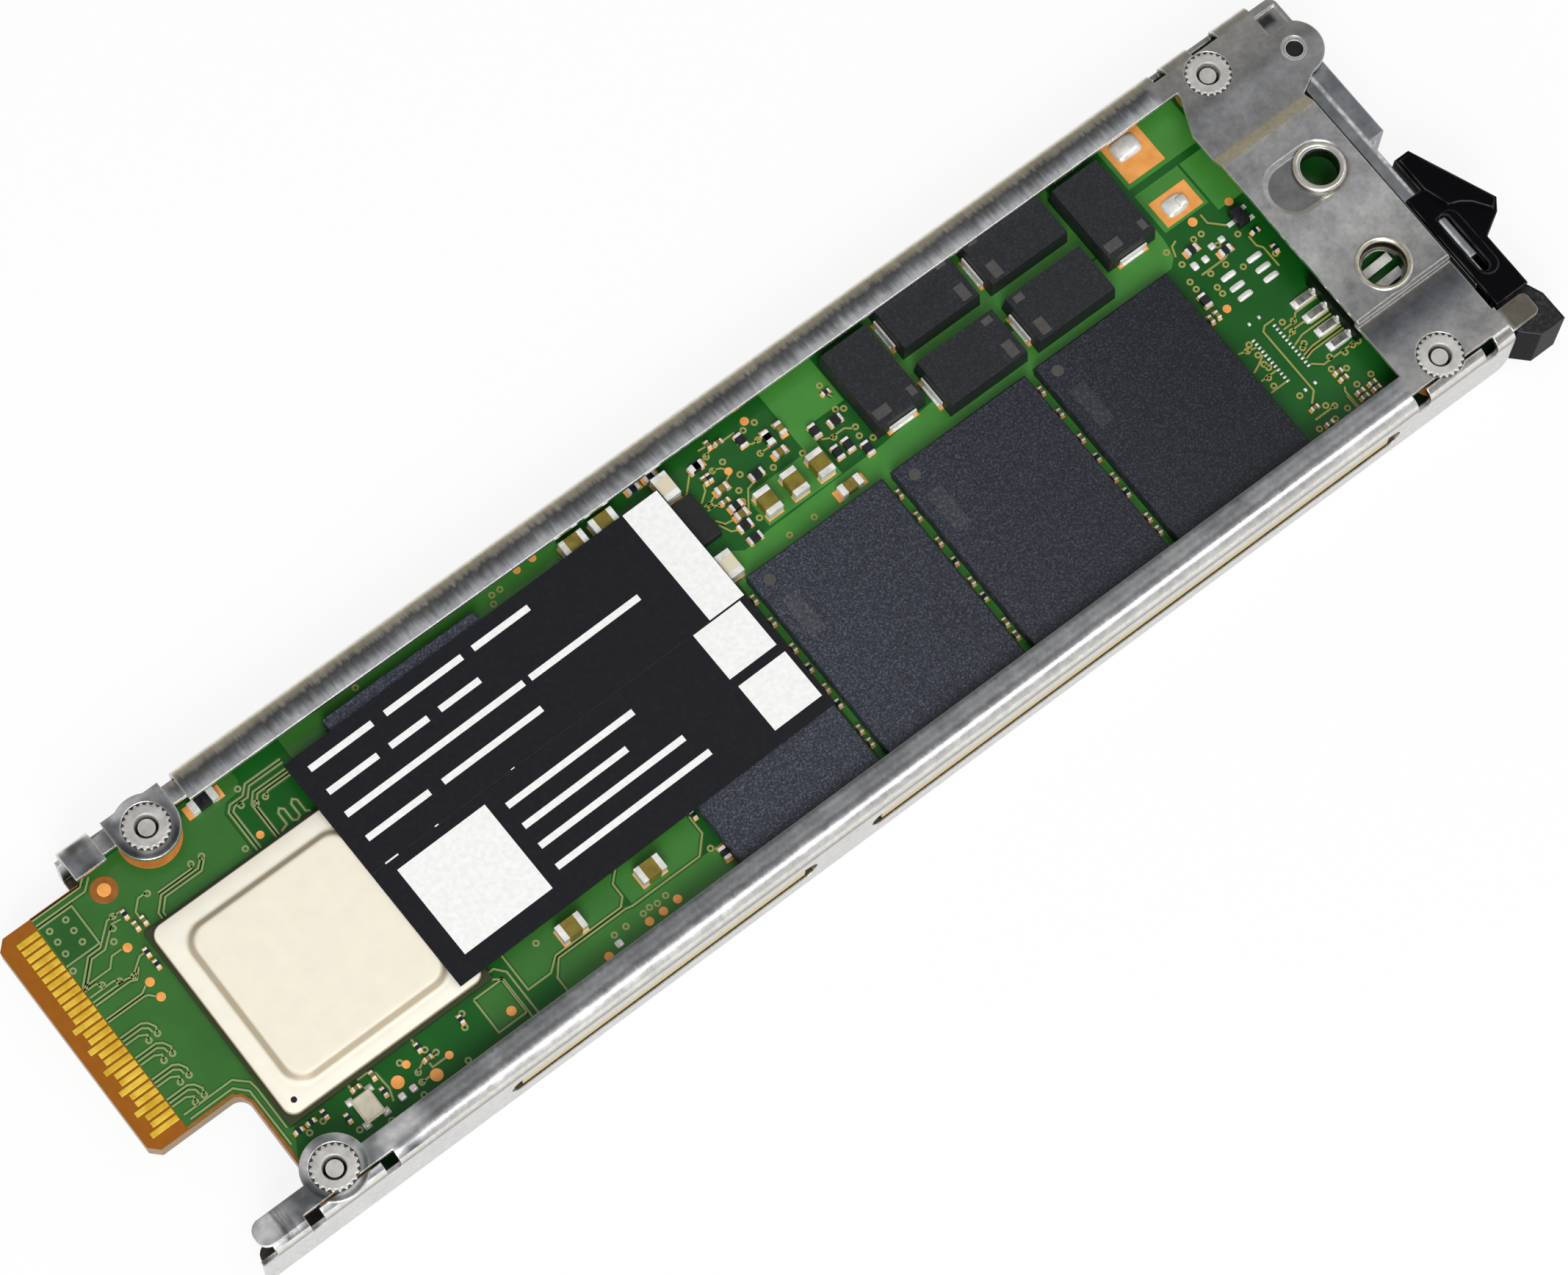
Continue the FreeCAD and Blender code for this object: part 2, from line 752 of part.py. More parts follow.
def frame_holes():
    """Every hole, window and slot in the frame."""
    through = "panel_top"
    holes = [
        cylinder("nut_seat_" + letter, "nut_%s_x" % letter, "nut_%s_y" % letter, "board_top",
                 "nut_radius + nut_fit", through)
        for letter in NUTS
    ]
    holes.append(cylinder("ear_hole", "pivot_x", "pivot_y", "0", "pin_radius + nut_fit", through))
    holes.append(cylinder("collar_hole", "collar_hole_x", "collar_hole_y", "board_top",
                          "collar_hole_radius", through))
    holes.append(funnel("drawn_hole", "0"))
    holes += slit_reliefs("relief_back", "low_slit_start")
    holes += slit_reliefs("relief_front", "front_slit_start")
    nut_back, nut_front = "nut_c_x - nut_tab_radius", "nut_c_x + nut_tab_radius"
    holes.append(bend_relief("relief_high_back", "high", nut_back + " - window_length", nut_back))
    holes.append(bend_relief("relief_high_front", "high", "nut_c_x", nut_front))
    holes.append(wall_round("round_back", "low_wall_start", "low_wall_round_back", False))
    holes.append(wall_round("round_front", "wall_end", "low_wall_round_front", True))
    return holes + wall_slots()


def dish():
    """The tool for the sloping-sided dish round the collared hole."""
    floor = "panel_top - dish_depth"
    back_x = "collar_hole_x - dish_run"
    foot = "(dish_radius - dish_slope)"
    shapes = []
    for name, x in (("dish_back", back_x), ("dish_front", "collar_hole_x")):
        cone = bound("Part::Cone", name, Radius1=foot, Radius2="dish_radius", Height="dish_depth")
        shapes.append(place(cone, x, "collar_hole_y", floor))
    shapes.append(section("dish_mid", (
        ("collar_hole_y - " + foot, floor, ""),
        ("collar_hole_y + " + foot, floor, ""),
        ("collar_hole_y + dish_radius", "panel_top", ""),
        ("collar_hole_y - dish_radius", "panel_top", ""),
    ), back_x, "collar_hole_x"))
    return fuse("dish", shapes)


def carrier_frame():
    """The whole folded frame with its formed rims and holes."""
    collar = cylinder("collar", "collar_hole_x", "collar_hole_y", "panel_top - sheet_thick",
                      "collar_hole_radius + collar_wall", "sheet_thick + collar_rise")
    drawn = funnel("drawn_rim", "sheet_thick")
    pocket = box("corner_pocket", "pivot_x + corner_overrun - pocket_setback - pocket_length",
                 "corner_edge - pocket_inset - pocket_width", "lip_top - pocket_depth",
                 "pocket_length", "pocket_width", "panel_rise")
    dished = cut("dished_sheet", fuse("sheet_blank", frame_blank()), [dish(), pocket])
    return cut("carrier_frame", fuse("formed_sheet", [dished, collar, drawn]), frame_holes())


def clinch_nuts():
    """Knurled nuts, flush in the frame's tabs, with barrels down to the board."""
    teeth = []
    for step in range(2 * KNURL_TEETH):
        radius = "nut_radius" if step % 2 == 0 else "(nut_radius - knurl_depth)"
        angle = 180 * step / KNURL_TEETH
        teeth.append(("%s * cos(%g deg)" % (radius, angle), "%s * sin(%g deg)" % (radius, angle), ""))
    knurl = shift(outline("knurl_plan", teeth), z="lip_clear")
    head = extrude("knurl_head", knurl, UP, "sheet_thick + nut_proud")
    barrel = bound("Part::Cylinder", "nut_barrel_body", Radius="nut_barrel", Height="lip_clear")
    bore = bound("Part::Cylinder", "nut_bore_tool", Radius="nut_bore", Height="lip_clear + 2 * sheet_thick")
    master = cut("nut_master", fuse("nut_solid", [head, barrel]), [bore])
    places = [("nut_%s_x" % letter, "nut_%s_y" % letter, "board_top", 0) for letter in NUTS]
    return group("clinch_nuts", copies("clinch_nut", master, places))


def board_screws():
    """Screws from below, through the board and into the nuts."""
    head = bound("Part::Cylinder", "screw_head", Radius="screw_head_radius", Height="screw_head_height")
    shank = bound("Part::Cylinder", "screw_shank", Radius="screw_radius",
                  Height="screw_head_height + board_thick + lip_clear + sheet_thick - screw_recess")
    socket = bound("Part::Prism", "screw_socket", Circumradius="screw_socket_radius",
                   Height="screw_socket_depth")
    master = cut("screw_master", fuse("screw_solid", [head, shank]), [socket])
    level = "under_depth - screw_head_height"
    places = [("nut_%s_x" % letter, "nut_%s_y" % letter, level, 0) for letter in NUTS]
    return group("board_screws", copies("board_screw", master, places))


def circuit_board():
    """The board: connector tab, notch, and side ears that stand in the wall slots."""
    high = []
    for letter in ("a", "b"):
        start = "slot_%s_start + slot_radius" % letter
        end = "slot_%s_end - slot_radius" % letter
        high += [(start, "half_body"), (start, "half_ears"), (end, "half_ears"), (end, "half_body")]
    low = [(x, "-" + y) for x, y in reversed(high)]
    corners = [
        ("0", "edge_tab_low + edge_tab_chamfer", ""),
        ("0", "edge_tab_high - edge_tab_chamfer", ""),
        ("edge_tab_chamfer", "edge_tab_high", ""),
        ("edge_tab_depth", "edge_tab_high", ""),
        ("edge_tab_depth", "half_body", ""),
    ]
    corners += [(x, y, "") for x, y in high]
    corners += [("board_length", "half_body", ""), ("board_length", "-half_body", "")]
    corners += [(x, y, "") for x, y in low]
    corners += [
        ("edge_tab_depth", "-half_body", ""),
        ("edge_tab_depth", "edge_tab_low", "notch_radius"),
        ("edge_tab_chamfer", "edge_tab_low", ""),
    ]
    blank = plate("board_blank", corners, "under_depth", "board_thick")
    holes = [
        cylinder("board_hole_" + letter, "nut_%s_x" % letter, "nut_%s_y" % letter, "0",
                 "screw_hole", "lip_top")
        for letter in NUTS
    ]
    return cut("circuit_board", blank, holes)


def edge_contacts():
    """Gold fingers on both faces of the connector tab, some longer so that they meet first."""
    fingers = []
    for length in ("contact_short", "contact_long"):
        master = bound("Part::Box", length + "_finger", Length=length, Width="contact_width",
                       Height="contact_thick")
        is_long = length == "contact_long"
        places = []
        for level in ("board_top", "under_depth - contact_thick"):
            for number in range(1, FINGERS + 1):
                if (number in LONG_FINGERS) != is_long:
                    continue
                steps = (FINGERS + 1) / 2 - number
                y = "edge_tab_offset + contact_pitch * %g - contact_width / 2" % steps
                places.append(("contact_root - " + length, y, level, 0))
        fingers += copies(length + "_contact", master, places)
    return group("edge_contacts", fingers)


def flash_packages():
    """Flash memory in a row on the top face and the same row on the under face."""
    made = []
    for level in ("board_top", "under_depth - flash_height"):
        for number in range(FLASH_ROW):
            name = "flash_%d" % (len(made) + 1)
            x = "flash_first + %d * flash_pitch" % number
            block = (x, "flash_low", level, "flash_width", "flash_length", "flash_height")
            made.append(package(name, *block) if level == "board_top" else box(name, *block))
    return made


def lid_square(width, middle):
    """The rounded square plan of the controller's lid or of its plateau."""
    low_x, high_x = "controller_x - %s / 2" % width, "controller_x + %s / 2" % width
    low_y, high_y = "%s - %s / 2" % (middle, width), "%s + %s / 2" % (middle, width)
    square = ((low_x, low_y), (high_x, low_y), (high_x, high_y), (low_x, high_y))
    return [(x, y, "lid_corner") for x, y in square]


def controller():
    """The controller: its laminate and a stamped lid with a raised plateau."""
    half = "substrate_width / 2"
    substrate = box("controller_substrate", "controller_x - " + half, "controller_y - " + half, "board_top",
                    "substrate_width", "substrate_width", "substrate_thick")
    flange = plate("lid_flange_plate", lid_square("lid_width", "controller_y"), "lid_under", "lid_flange")
    plateau = plate("lid_plateau", lid_square("plateau_width", "controller_y + plateau_shift"),
                    "lid_under + lid_flange", "plateau_rise")
    eased = top_chamfer("lid_plateau_eased", plateau, "plateau_slope")
    return [substrate, fuse("controller_lid", [flange, eased])]


def tantalums():
    """Moulded backup capacitors with drafted sides, and their end terminals."""
    half_length, half_width = "(tantalum_length / 2 - tantalum_lead_thick)", "(tantalum_width / 2)"
    body = bound(
        "Part::Wedge", "tantalum_master",
        Xmin="-" + half_length, Xmax=half_length,
        Ymin="0", Ymax="tantalum_height",
        Zmin="-" + half_width, Zmax=half_width,
        X2min="tantalum_draft - " + half_length, X2max=half_length + " - tantalum_draft",
        Z2min="tantalum_draft - " + half_width, Z2max=half_width + " - tantalum_draft",
    )
    body.Placement.Rotation = FreeCAD.Rotation(ALONG, 90)
    upright = group("tantalum_upright", [body])
    made = []
    for number, (x, y, turns) in enumerate(TANTALUMS, 1):
        link = copies("tantalum_copy_%d" % number, upright, [(x, y, "board_top", turns)])
        made.append(group("tantalum_%d" % number, link))
    ends = []
    for which, x in (
        ("back", "-tantalum_length / 2"),
        ("front", "tantalum_length / 2 - tantalum_lead_thick"),
    ):
        strip = bound("Part::Box", "terminal_" + which, Length="tantalum_lead_thick",
                      Width="tantalum_lead_width", Height="tantalum_lead_height")
        ends.append(shift(strip, x=x, y="-tantalum_lead_width / 2"))
    pair = group("terminal_pair", ends)
    places = [(x, y, "board_top", turns) for x, y, turns in TANTALUMS]
    made.append(group("tantalum_terminals", copies("terminal_pair_copy", pair, places)))
    return made


def chips(kind, body_name, ends_name, places):
    """Chip parts of one size: their bodies in one group and their plated ends in another."""
    length, width, height, band = [kind + size for size in ("_length", "_width", "_height", "_band")]
    half_width = "-%s / 2" % width
    core = bound("Part::Box", kind + "_core", Length="%s - 2 * %s" % (length, band),
                 Width=width, Height=height)
    shift(core, x="%s - %s / 2" % (band, length), y=half_width)
    ends = []
    for which, x in (("back", "-%s / 2" % length), ("front", "%s / 2 - %s" % (length, band))):
        end = bound("Part::Box", "%s_end_%s" % (kind, which), Length=band, Width=width, Height=height)
        ends.append(shift(end, x=x, y=half_width))
    spots = []
    for datum, steps in places.items():
        for along, inset, turns in steps:
            x = "%s + %d * placement_grid" % (datum, along)
            spots.append((x, "half_body - %d * placement_grid" % inset, "board_top", turns))
    return [
        group(body_name, copies(kind + "_copy", group(kind + "_home", [core]), spots)),
        group(ends_name, copies(kind + "_ends", group(kind + "_end_pair", ends), spots)),
    ]


def contact_block():
    """A four-way spring contact block that reaches under the bridge."""
    shell = box("block_shell", "bridge_start", "block_y - block_length / 2", "board_top",
                "block_depth", "block_length", "block_height")
    slots = []
    places = []
    for number in range(SPRINGS):
        y = "block_y + spring_pitch * %g" % (number - (SPRINGS - 1) / 2)
        places.append(("bridge_start", y, "board_top", 0))
        slots.append(box("block_slot_%d" % number, "bridge_start", y + " - spring_width / 2 - spring_clear",
                         "board_top", "block_depth", "spring_width + 2 * spring_clear",
                         "spring_thick + spring_clear"))
    blade = outline("spring_side", (
        ("-spring_tail", "0", ""),
        ("block_depth", "0", ""),
        ("block_depth + spring_reach", "spring_rise", ""),
        ("block_depth + spring_reach", "spring_rise + spring_thick", ""),
        ("block_depth", "spring_thick", ""),
        ("-spring_tail", "spring_thick", ""),
    ))
    blade.Placement.Rotation = FreeCAD.Rotation(ALONG, 90)
    shift(blade, y="spring_width / 2")
    master = extrude("spring_master", blade, FreeCAD.Vector(0, -1, 0), "spring_width")
    return [
        cut("contact_housing", shell, slots),
        group("contact_springs", copies("contact_spring", master, places)),
    ]


def small_packages():
    """The working memory, the power chip and the clock's metal can."""
    memory = package("working_memory", "memory_x", "memory_high - memory_width", "board_top",
                     "memory_length", "memory_width", "memory_height")
    power = package("power_chip", "power_x", "power_y - power_length / 2", "board_top",
                    "power_width", "power_length", "power_height")
    foot = box("clock_foot", "clock_x - clock_length / 2", "clock_y - clock_width / 2", "board_top",
               "clock_length", "clock_width", "clock_height / 2")
    lid = box("clock_lid", "clock_x - clock_length / 2 + clock_rim", "clock_y - clock_width / 2 + clock_rim",
              "board_top + clock_height / 2", "clock_length - 2 * clock_rim", "clock_width - 2 * clock_rim",
              "clock_height / 2")
    return [memory, power, fuse("clock_can", [foot, lid])]


def labels():
    """Two stickers side by side, laid slightly askew over the lid and the packages."""
    made = []
    for name, offset, width in (
        ("label_lower", "0", "label_lower_width"),
        ("label_upper", "label_lower_width", "label_upper_width"),
    ):
        sticker = bound("Part::Box", name, Length="label_length", Width=width, Height="label_thick")
        sticker.Placement.Rotation = FreeCAD.Rotation(UP, value("label_turn"))
        x = "label_x - (%s) * sin(label_turn * 1 deg)" % offset
        y = "label_low + (%s) * cos(label_turn * 1 deg)" % offset
        made.append(place(sticker, x, y, "label_level"))
    return made


def drive_handle():
    """The handle: a strip under the ear with a turned-down front flange and the arm for the latch."""
    strip = plate("handle_strip", (
        ("handle_back", "-arm_end", ""),
        ("handle_back + arm_width", "-arm_end", ""),
        ("handle_back + arm_width", "handle_shoulder", ""),
        ("handle_front", "handle_shoulder", ""),
        ("handle_front", "pivot_y", ""),
        ("handle_back", "pivot_y", ""),
    ), "handle_under", "handle_thick")
    eye = cylinder("handle_eye", "pivot_x", "pivot_y", "handle_under", "handle_eye_radius", "handle_thick")
    flange = box("handle_flange", "handle_front - flange_thick", "handle_shoulder", "flange_foot",
                 "flange_thick", "flange_high - handle_shoulder", "handle_top - flange_foot")
    lug = box("handle_lug", "guide_slot_x + slide_clear", "-lug_start - lug_length", "handle_under",
              "lug_width", "lug_length", "handle_thick + lug_rise")
    bore = cylinder("handle_bore", "pivot_x", "pivot_y", "0", "pin_radius + pin_clear", "lip_top")
    return cut("drive_handle", fuse("handle_solid", [strip, eye, flange, lug]), [bore])


def handle_pin():
    """A hollow-ended pin, pressed into the ear, with a head below the handle."""
    foot = "handle_under - pin_clear - pin_head_height"
    height = "lip_top - pin_recess - (%s)" % foot
    shank = cylinder("pin_shank", "pivot_x", "pivot_y", foot, "pin_radius", height)
    head = cylinder("pin_head", "pivot_x", "pivot_y", foot, "pin_head_radius", "pin_head_height")
    bore = cylinder("pin_hole", "pivot_x", "pivot_y", foot + " + pin_head_height", "pin_bore", "lip_top")
    return cut("handle_pin", fuse("pin_solid", [shank, head]), [bore])


def release_latch():
    """The latch: a grip with a finger hook, a groove for the arm, a guide slot and the locking tongue."""
    grip = plate("latch_grip", (
        ("handle_back", "-latch_low", ""),
        ("latch_front", "-latch_low", ""),
        ("latch_front", "-hook_root_low", ""),
        ("handle_back + hook_heel_reach", "-hook_heel_low", ""),
        ("hook_tip", "-hook_tip_low", ""),
        ("handle_back + hook_top_depth", "-hook_top", ""),
        ("handle_back + hook_back", "-hook_top", ""),
        ("handle_back + hook_back", "-latch_high", ""),
        ("handle_back", "-latch_high", ""),
    ), "latch_foot", "latch_top - latch_foot")
    end = "-half_frame - tongue_reach"
    tongue = plate("latch_tongue", (
        ("handle_back", end + " + tongue_chamfer", ""),
        ("handle_back + tongue_chamfer", end, ""),
        ("tongue_front", end, ""),
        ("tongue_front", "-latch_low - tongue_chamfer", ""),
        ("latch_front", "-latch_low", ""),
        ("handle_back", "-latch_low", ""),
    ), "tongue_foot", "lip_under - tongue_gap - tongue_foot")
    room = "arm_end + latch_travel + 2 * slide_clear"
    level = "handle_under - slide_clear"
    groove = box("latch_groove", "handle_back - slide_clear", "-(%s)" % room, level,
                 "arm_width + 2 * slide_clear", room, "handle_thick + 2 * slide_clear")
    low_end = "lug_start + lug_length + latch_travel + slide_clear"
    guide = box("latch_guide_slot", "guide_slot_x", "-(%s)" % low_end, level, "guide_slot_width",
                "lug_length + latch_travel + 2 * slide_clear", "lip_top")
    return cut("release_latch", fuse("latch_solid", [grip, tongue]), [groove, guide])


parts = [
    carrier_frame(),
    clinch_nuts(),
    board_screws(),
    circuit_board(),
    edge_contacts(),
    drive_handle(),
    handle_pin(),
    release_latch(),
]
for several in (
    controller(),
    flash_packages(),
    small_packages(),
    tantalums(),
    chips("ceramic", "ceramic_capacitors", "ceramic_terminals", CERAMICS),
    chips("resistor", "chip_resistors", "resistor_terminals", RESISTORS),
    contact_block(),
    labels(),
):
    parts += several

doc.recompute()
for obj in doc.Objects:
    if "Invalid" in obj.State or "Error" in obj.State:
        raise RuntimeError("%s did not build: %s" % (obj.Name, obj.State))

os.makedirs("parts", exist_ok=True)
for part in parts:
    part.Label = part.Name
    if part.Shape.isNull() or not part.Shape.isValid():
        raise RuntimeError("%s has no valid shape" % part.Name)
    part.Shape.exportStep("parts/%s.step" % part.Label)
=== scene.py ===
import math

import bmesh
import bpy
from mathutils import Matrix, Vector


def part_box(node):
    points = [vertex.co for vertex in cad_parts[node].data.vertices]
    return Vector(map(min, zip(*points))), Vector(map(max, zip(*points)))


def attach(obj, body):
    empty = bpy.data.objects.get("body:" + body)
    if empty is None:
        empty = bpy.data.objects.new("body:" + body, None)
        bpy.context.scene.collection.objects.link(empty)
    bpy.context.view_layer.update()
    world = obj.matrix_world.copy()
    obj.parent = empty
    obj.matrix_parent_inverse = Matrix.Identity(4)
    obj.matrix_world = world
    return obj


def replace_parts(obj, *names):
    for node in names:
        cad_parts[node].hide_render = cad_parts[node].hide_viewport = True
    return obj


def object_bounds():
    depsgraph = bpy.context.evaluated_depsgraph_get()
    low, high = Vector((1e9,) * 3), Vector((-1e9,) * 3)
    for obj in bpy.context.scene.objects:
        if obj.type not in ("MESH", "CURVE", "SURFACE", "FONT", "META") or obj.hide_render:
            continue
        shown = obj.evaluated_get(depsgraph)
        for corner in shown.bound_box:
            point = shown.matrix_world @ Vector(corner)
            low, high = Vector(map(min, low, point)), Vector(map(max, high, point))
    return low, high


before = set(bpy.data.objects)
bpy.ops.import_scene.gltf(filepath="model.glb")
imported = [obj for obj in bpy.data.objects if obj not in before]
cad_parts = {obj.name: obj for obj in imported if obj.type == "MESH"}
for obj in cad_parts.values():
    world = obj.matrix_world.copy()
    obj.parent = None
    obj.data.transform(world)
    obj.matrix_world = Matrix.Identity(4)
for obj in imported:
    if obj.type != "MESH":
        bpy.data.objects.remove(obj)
CAD_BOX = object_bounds()

# Places on the board are in millimetres: X from the card edge, Y from the first contact's middle,
# Z from the board's top. Outlines and lines are flat rows of X, Y, X, Y
MM = 0.001
CONTACT_WIDTH = 0.42
BOARD_LOW, BOARD_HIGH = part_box("circuit_board")
CARD_EDGE = BOARD_LOW[0]
FIRST_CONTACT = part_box("edge_contacts")[1][1] - CONTACT_WIDTH / 2 * MM
BOARD_TOP = BOARD_HIGH[2]
UNDER = (BOARD_LOW[2] - BOARD_TOP) / MM
MASK_START = 2.95
MASK_SOFT = 0.01
# Where the board goes into the shade of the low lip
LIP_COVER = (-26.3, -26.8)

# The sheet frame: levels of its lips and of the raised panel, and the end and depth of its bridge
LIP_LEVEL = 2.4
PANEL_LEVEL = 3
BRIDGE_SETBACK = 0.49
BRIDGE_END = (BOARD_HIGH[0] - CARD_EDGE) / MM - BRIDGE_SETBACK
BRIDGE_DEPTH = 8.5
FRAME_MIDDLE = -12.43

# Heights above the board of what is printed, etched or soldered on it
POUR = 0.02
CLEARING = 0.026
BARE_RIM = 0.03
TRACE = 0.04
TRACE_BED = 0.03
PAD = 0.05
PRINT = 0.02

# Copper areas, paler green through the mask: outlines, and fields as low X, low Y, high X, high Y
POURS = (
    (2.95, 1.05, 2.95, -17.15, 7, -17.2, 7.6, -18, 7.6, -23.6, 8.9, -21.2, 8.9, -4.3, 17.9, -4.3,
     17.9, -0.8, 18.5, -0.2, 19.4, -0.1, 20.1, 0.6, 20.1, 1.6, 7.9, 1.6, 7.3, 1.05),
    (27.1, -20, 27.1, -23.4, 28.9, -23.4, 29.9, -22.6, 35.5, -22.6, 36, -22.1, 36, -21, 36.8, -20),
    (37.2, -20, 36.3, -21, 36.3, -23, 42, -23, 43.1, -21.8, 43.1, -20),
    (29.2, -25.4, 44, -25.4, 44, -23.2, 36.2, -23.3, 35.7, -23.05, 30, -23.05, 29.2, -24),
    (56.7, -8.9, 95.6, -8.9, 96.4, -8.2, 96.6, -6.6, 96.6, -5, 92, -5, 70.9, -6.9, 60.4, -7.1, 58.2, -7.3,
     56.7, -6.2),
    (60.7, -4.1, 60.7, -6.9, 67.2, -6.9, 67.2, -2.6, 70.7, -2.6, 70.7, 2.2, 66.1, 2.2, 66.1, -4.1),
)
POUR_FIELDS = (
    (23.7, -24.6, 26, -21.9), (24, -0.4, 48, 2.2), (75.3, -4.9, 92.2, 2.2), (97, -2.3, 103.9, 2.2),
    (97, -6.5, 101, -2.9), (101.2, -7.4, 103.9, -2.9), (56.35, -25.4, 56.95, -8.9),
    (69.2, -25.4, 69.85, -8.9), (82.1, -25.4, 82.75, -8.9),
)
# Deeper green fields set into the copper areas
CLEARINGS = (
    (3.05, 0.2, 3.05, -3.05, 5.75, -3.05, 5.75, 0.2),
    (56.9, -1, 58.2, -2.2, 58.2, -6.9, 60.4, -6.9, 60.4, -3.9, 62, -3.3, 65.9, -3.3, 65.9, 1.6, 57.2, 1.6),
    (67.4, -2.8, 67.4, -6.6, 70.8, -6.6, 70.8, -2.8),
)

# Etched tracks, and pairs of tracks that leave the contacts and curl round into vias
TRACE_WIDTH = 0.135
TRACE_CLEAR = 0.34
TRACKS = (
    (3, 0.95, 7, 0.95, 7.7, 1.55), (3, 0.5, 7.1, 0.5, 7.9, 1.2), (3, 0.22, 5.78, 0.22, 5.78, -3.1, 3, -3.1),
    (3.05, -4.95, 4.6, -3.4, 5.6, -3.4, 7.1, -2.1, 8.1, -2.1),
    (3.1, -5.3, 4.7, -3.7, 5.8, -3.7, 7.2, -2.5, 7.9, -2.6), (3, -5, 5.3, -5, 5.9, -4.35, 6.7, -4.35),
    (3, -5.3, 3.9, -5.3, 4.2, -5.6), (3, -5.85, 5, -5.85, 5.3, -6.1),
    (3, -6.25, 5.7, -6.25, 6.2, -6.4, 7.4, -5.5, 7.8, -5.5), (3, -6.55, 5.9, -6.55, 6.3, -6.75, 6.9, -6.1),
    (3, -7.75, 6, -7.75, 6.5, -7.45), (3, -8, 6, -8, 6.3, -8.1, 6.6, -8.45),
    (3.3, -16.35, 7.3, -16.35, 8.2, -17.2, 8.3, -17.9, 8.3, -21.3),
    (3.5, -16.85, 7, -16.85, 7.8, -17.7, 7.85, -22.4), (9, -3.4, 9, -2.8, 9.7, -2.1, 10.4, -2.1),
    (10.2, -4.3, 10.2, -3.8, 11.1, -2.85, 14.2, -2.85, 14.8, -2.3),
    (10.5, -4.3, 10.5, -3.95, 11.25, -3.15, 14.3, -3.15, 15, -2.5), (11, -2.6, 13.8, -2.6, 14, -2.4),
    (18.2, -4.3, 18.2, -0.9, 18.6, -0.5, 19.7, -0.5, 20.3, 0.1, 23.3, 0.1),
    (18.5, -4.3, 18.5, -1.05, 18.8, -0.8, 19.9, -0.8, 20.45, -0.2, 23.3, -0.2),
    (19.8, -4.3, 19.8, -1.4, 20.4, -0.7, 23.3, -0.7), (20.05, -4.3, 20.05, -1.6, 20.6, -0.98, 23.3, -0.98),
    (20.9, -1.5, 21.3, -1.25, 23.3, -1.25),
    (20.3, -4.2, 20.9, -4, 20.9, -3, 21.15, -2.75, 21.4, -3, 21.4, -4, 21.7, -4.2, 22, -4, 22, -3,
     22.25, -2.75, 22.5, -3, 22.5, -4, 22.8, -4.2),
    (20.2, -21.3, 25.3, -21.3, 26.1, -21.9, 26.1, -25.3), (25, -20.9, 26, -20.9, 26.6, -21.6, 26.6, -25.3),
    (27, -20.4, 27, -23.5, 28.95, -23.5, 29.95, -22.7, 35.55, -22.7, 36.1, -22.15, 36.1, -21.05,
     36.9, -20.3),
    (29.1, -25.3, 29.1, -24.05, 30, -22.98, 35.75, -22.98, 36.2, -23.1, 42.05, -23.1, 43.2, -21.9,
     43.2, -20.4),
    (23.62, -21.82, 26, -21.82, 26, -24.7, 23.62, -24.7, 23.62, -21.82), (13.3, -21.3, 13.3, -21.8),
    (14, -21.5, 15, -21.5, 15.3, -21.9, 15.4, -23.3, 15.1, -24.2), (18.6, -21.3, 18.6, -21.9),
    (17.5, -23.6, 18.3, -23.2, 19.3, -23.2), (18.6, -23.5, 18.6, -23.9, 20, -23.9),
    (17.3, -24.3, 18.4, -24.3), (56.7, -1.6, 57.4, -1.6, 58.5, -0.5, 58.9, -0.4),
    (57.9, -2.7, 58.7, -2.1, 58.9, -1.6), (57.9, -3, 58.5, -3, 59, -2.8),
    (57.9, -3.4, 58.6, -3.4, 58.9, -3.6), (57.9, -4.3, 58.3, -4.9, 58.9, -5),
    (57.9, -4.7, 58.3, -5.6, 58.9, -5.9), (60.2, -0.1, 60.8, 0.15, 63, 0.15), (60.1, 0.6, 61.2, 0.5),
    (59.9, -1.1, 60.6, -1.4, 60.9, -1.8), (60.1, -2.5, 60.9, -2.1), (63.5, -2.2, 64.2, -2.2),
    (62.6, -0.7, 63.5, -1.3, 64.1, -1.3), (60.1, -5.3, 60.6, -4.6, 61.2, -3.8, 62, -3.6),
    (67.6, -4, 68.2, -4.3, 69.4, -4.3, 69.9, -4.7), (69.8, -1, 70.2, -1.9),
    (99, -16.35, 98.1, -16.35, 97.75, -16.65, 97.75, -22.3, 97, -23),
    (99, -17.4, 100, -17.4, 100.5, -16.9, 102.9, -16.9),
    (98.9, -18.1, 99.7, -17.8, 100.5, -17.8, 100.9, -18.2, 102.9, -18.2),
    (98.9, -18.8, 99.8, -18.5, 102.9, -18.5), (98.9, -19.8, 99.9, -19.6, 102.9, -19.6),
    (98.9, -20.1, 99.6, -19.9, 102.9, -19.9), (98.9, -20.6, 99.6, -21.2, 102.6, -21.2),
    (95.2, -18.7, 95.9, -18.4, 96.6, -18), (95.2, -19.5, 96.6, -19.5), (95.2, -20.6, 96.6, -20.6),
    (95.2, -16.9, 96.6, -17.3), (99.9, -6.9, 99.9, -7.7, 100.8, -8.6, 101.3, -8.9),
    (97.2, -7.4, 96.7, -7.6, 96.4, -8.4), (97, -10.6, 99.2, -10.6, 99.8, -10.3),
    (101.6, -10.3, 101.6, -11.2, 101.9, -11.6, 101.9, -13.4), (99.4, -24, 99.4, -25.3),
    (96.4, -24.1, 98.2, -24.1), (99.7, -23.4, 99.5, -23.7, 99.5, -25.2),
)
PAIR_STARTS = (-9.4, -11.15, -13.05, -14.8)
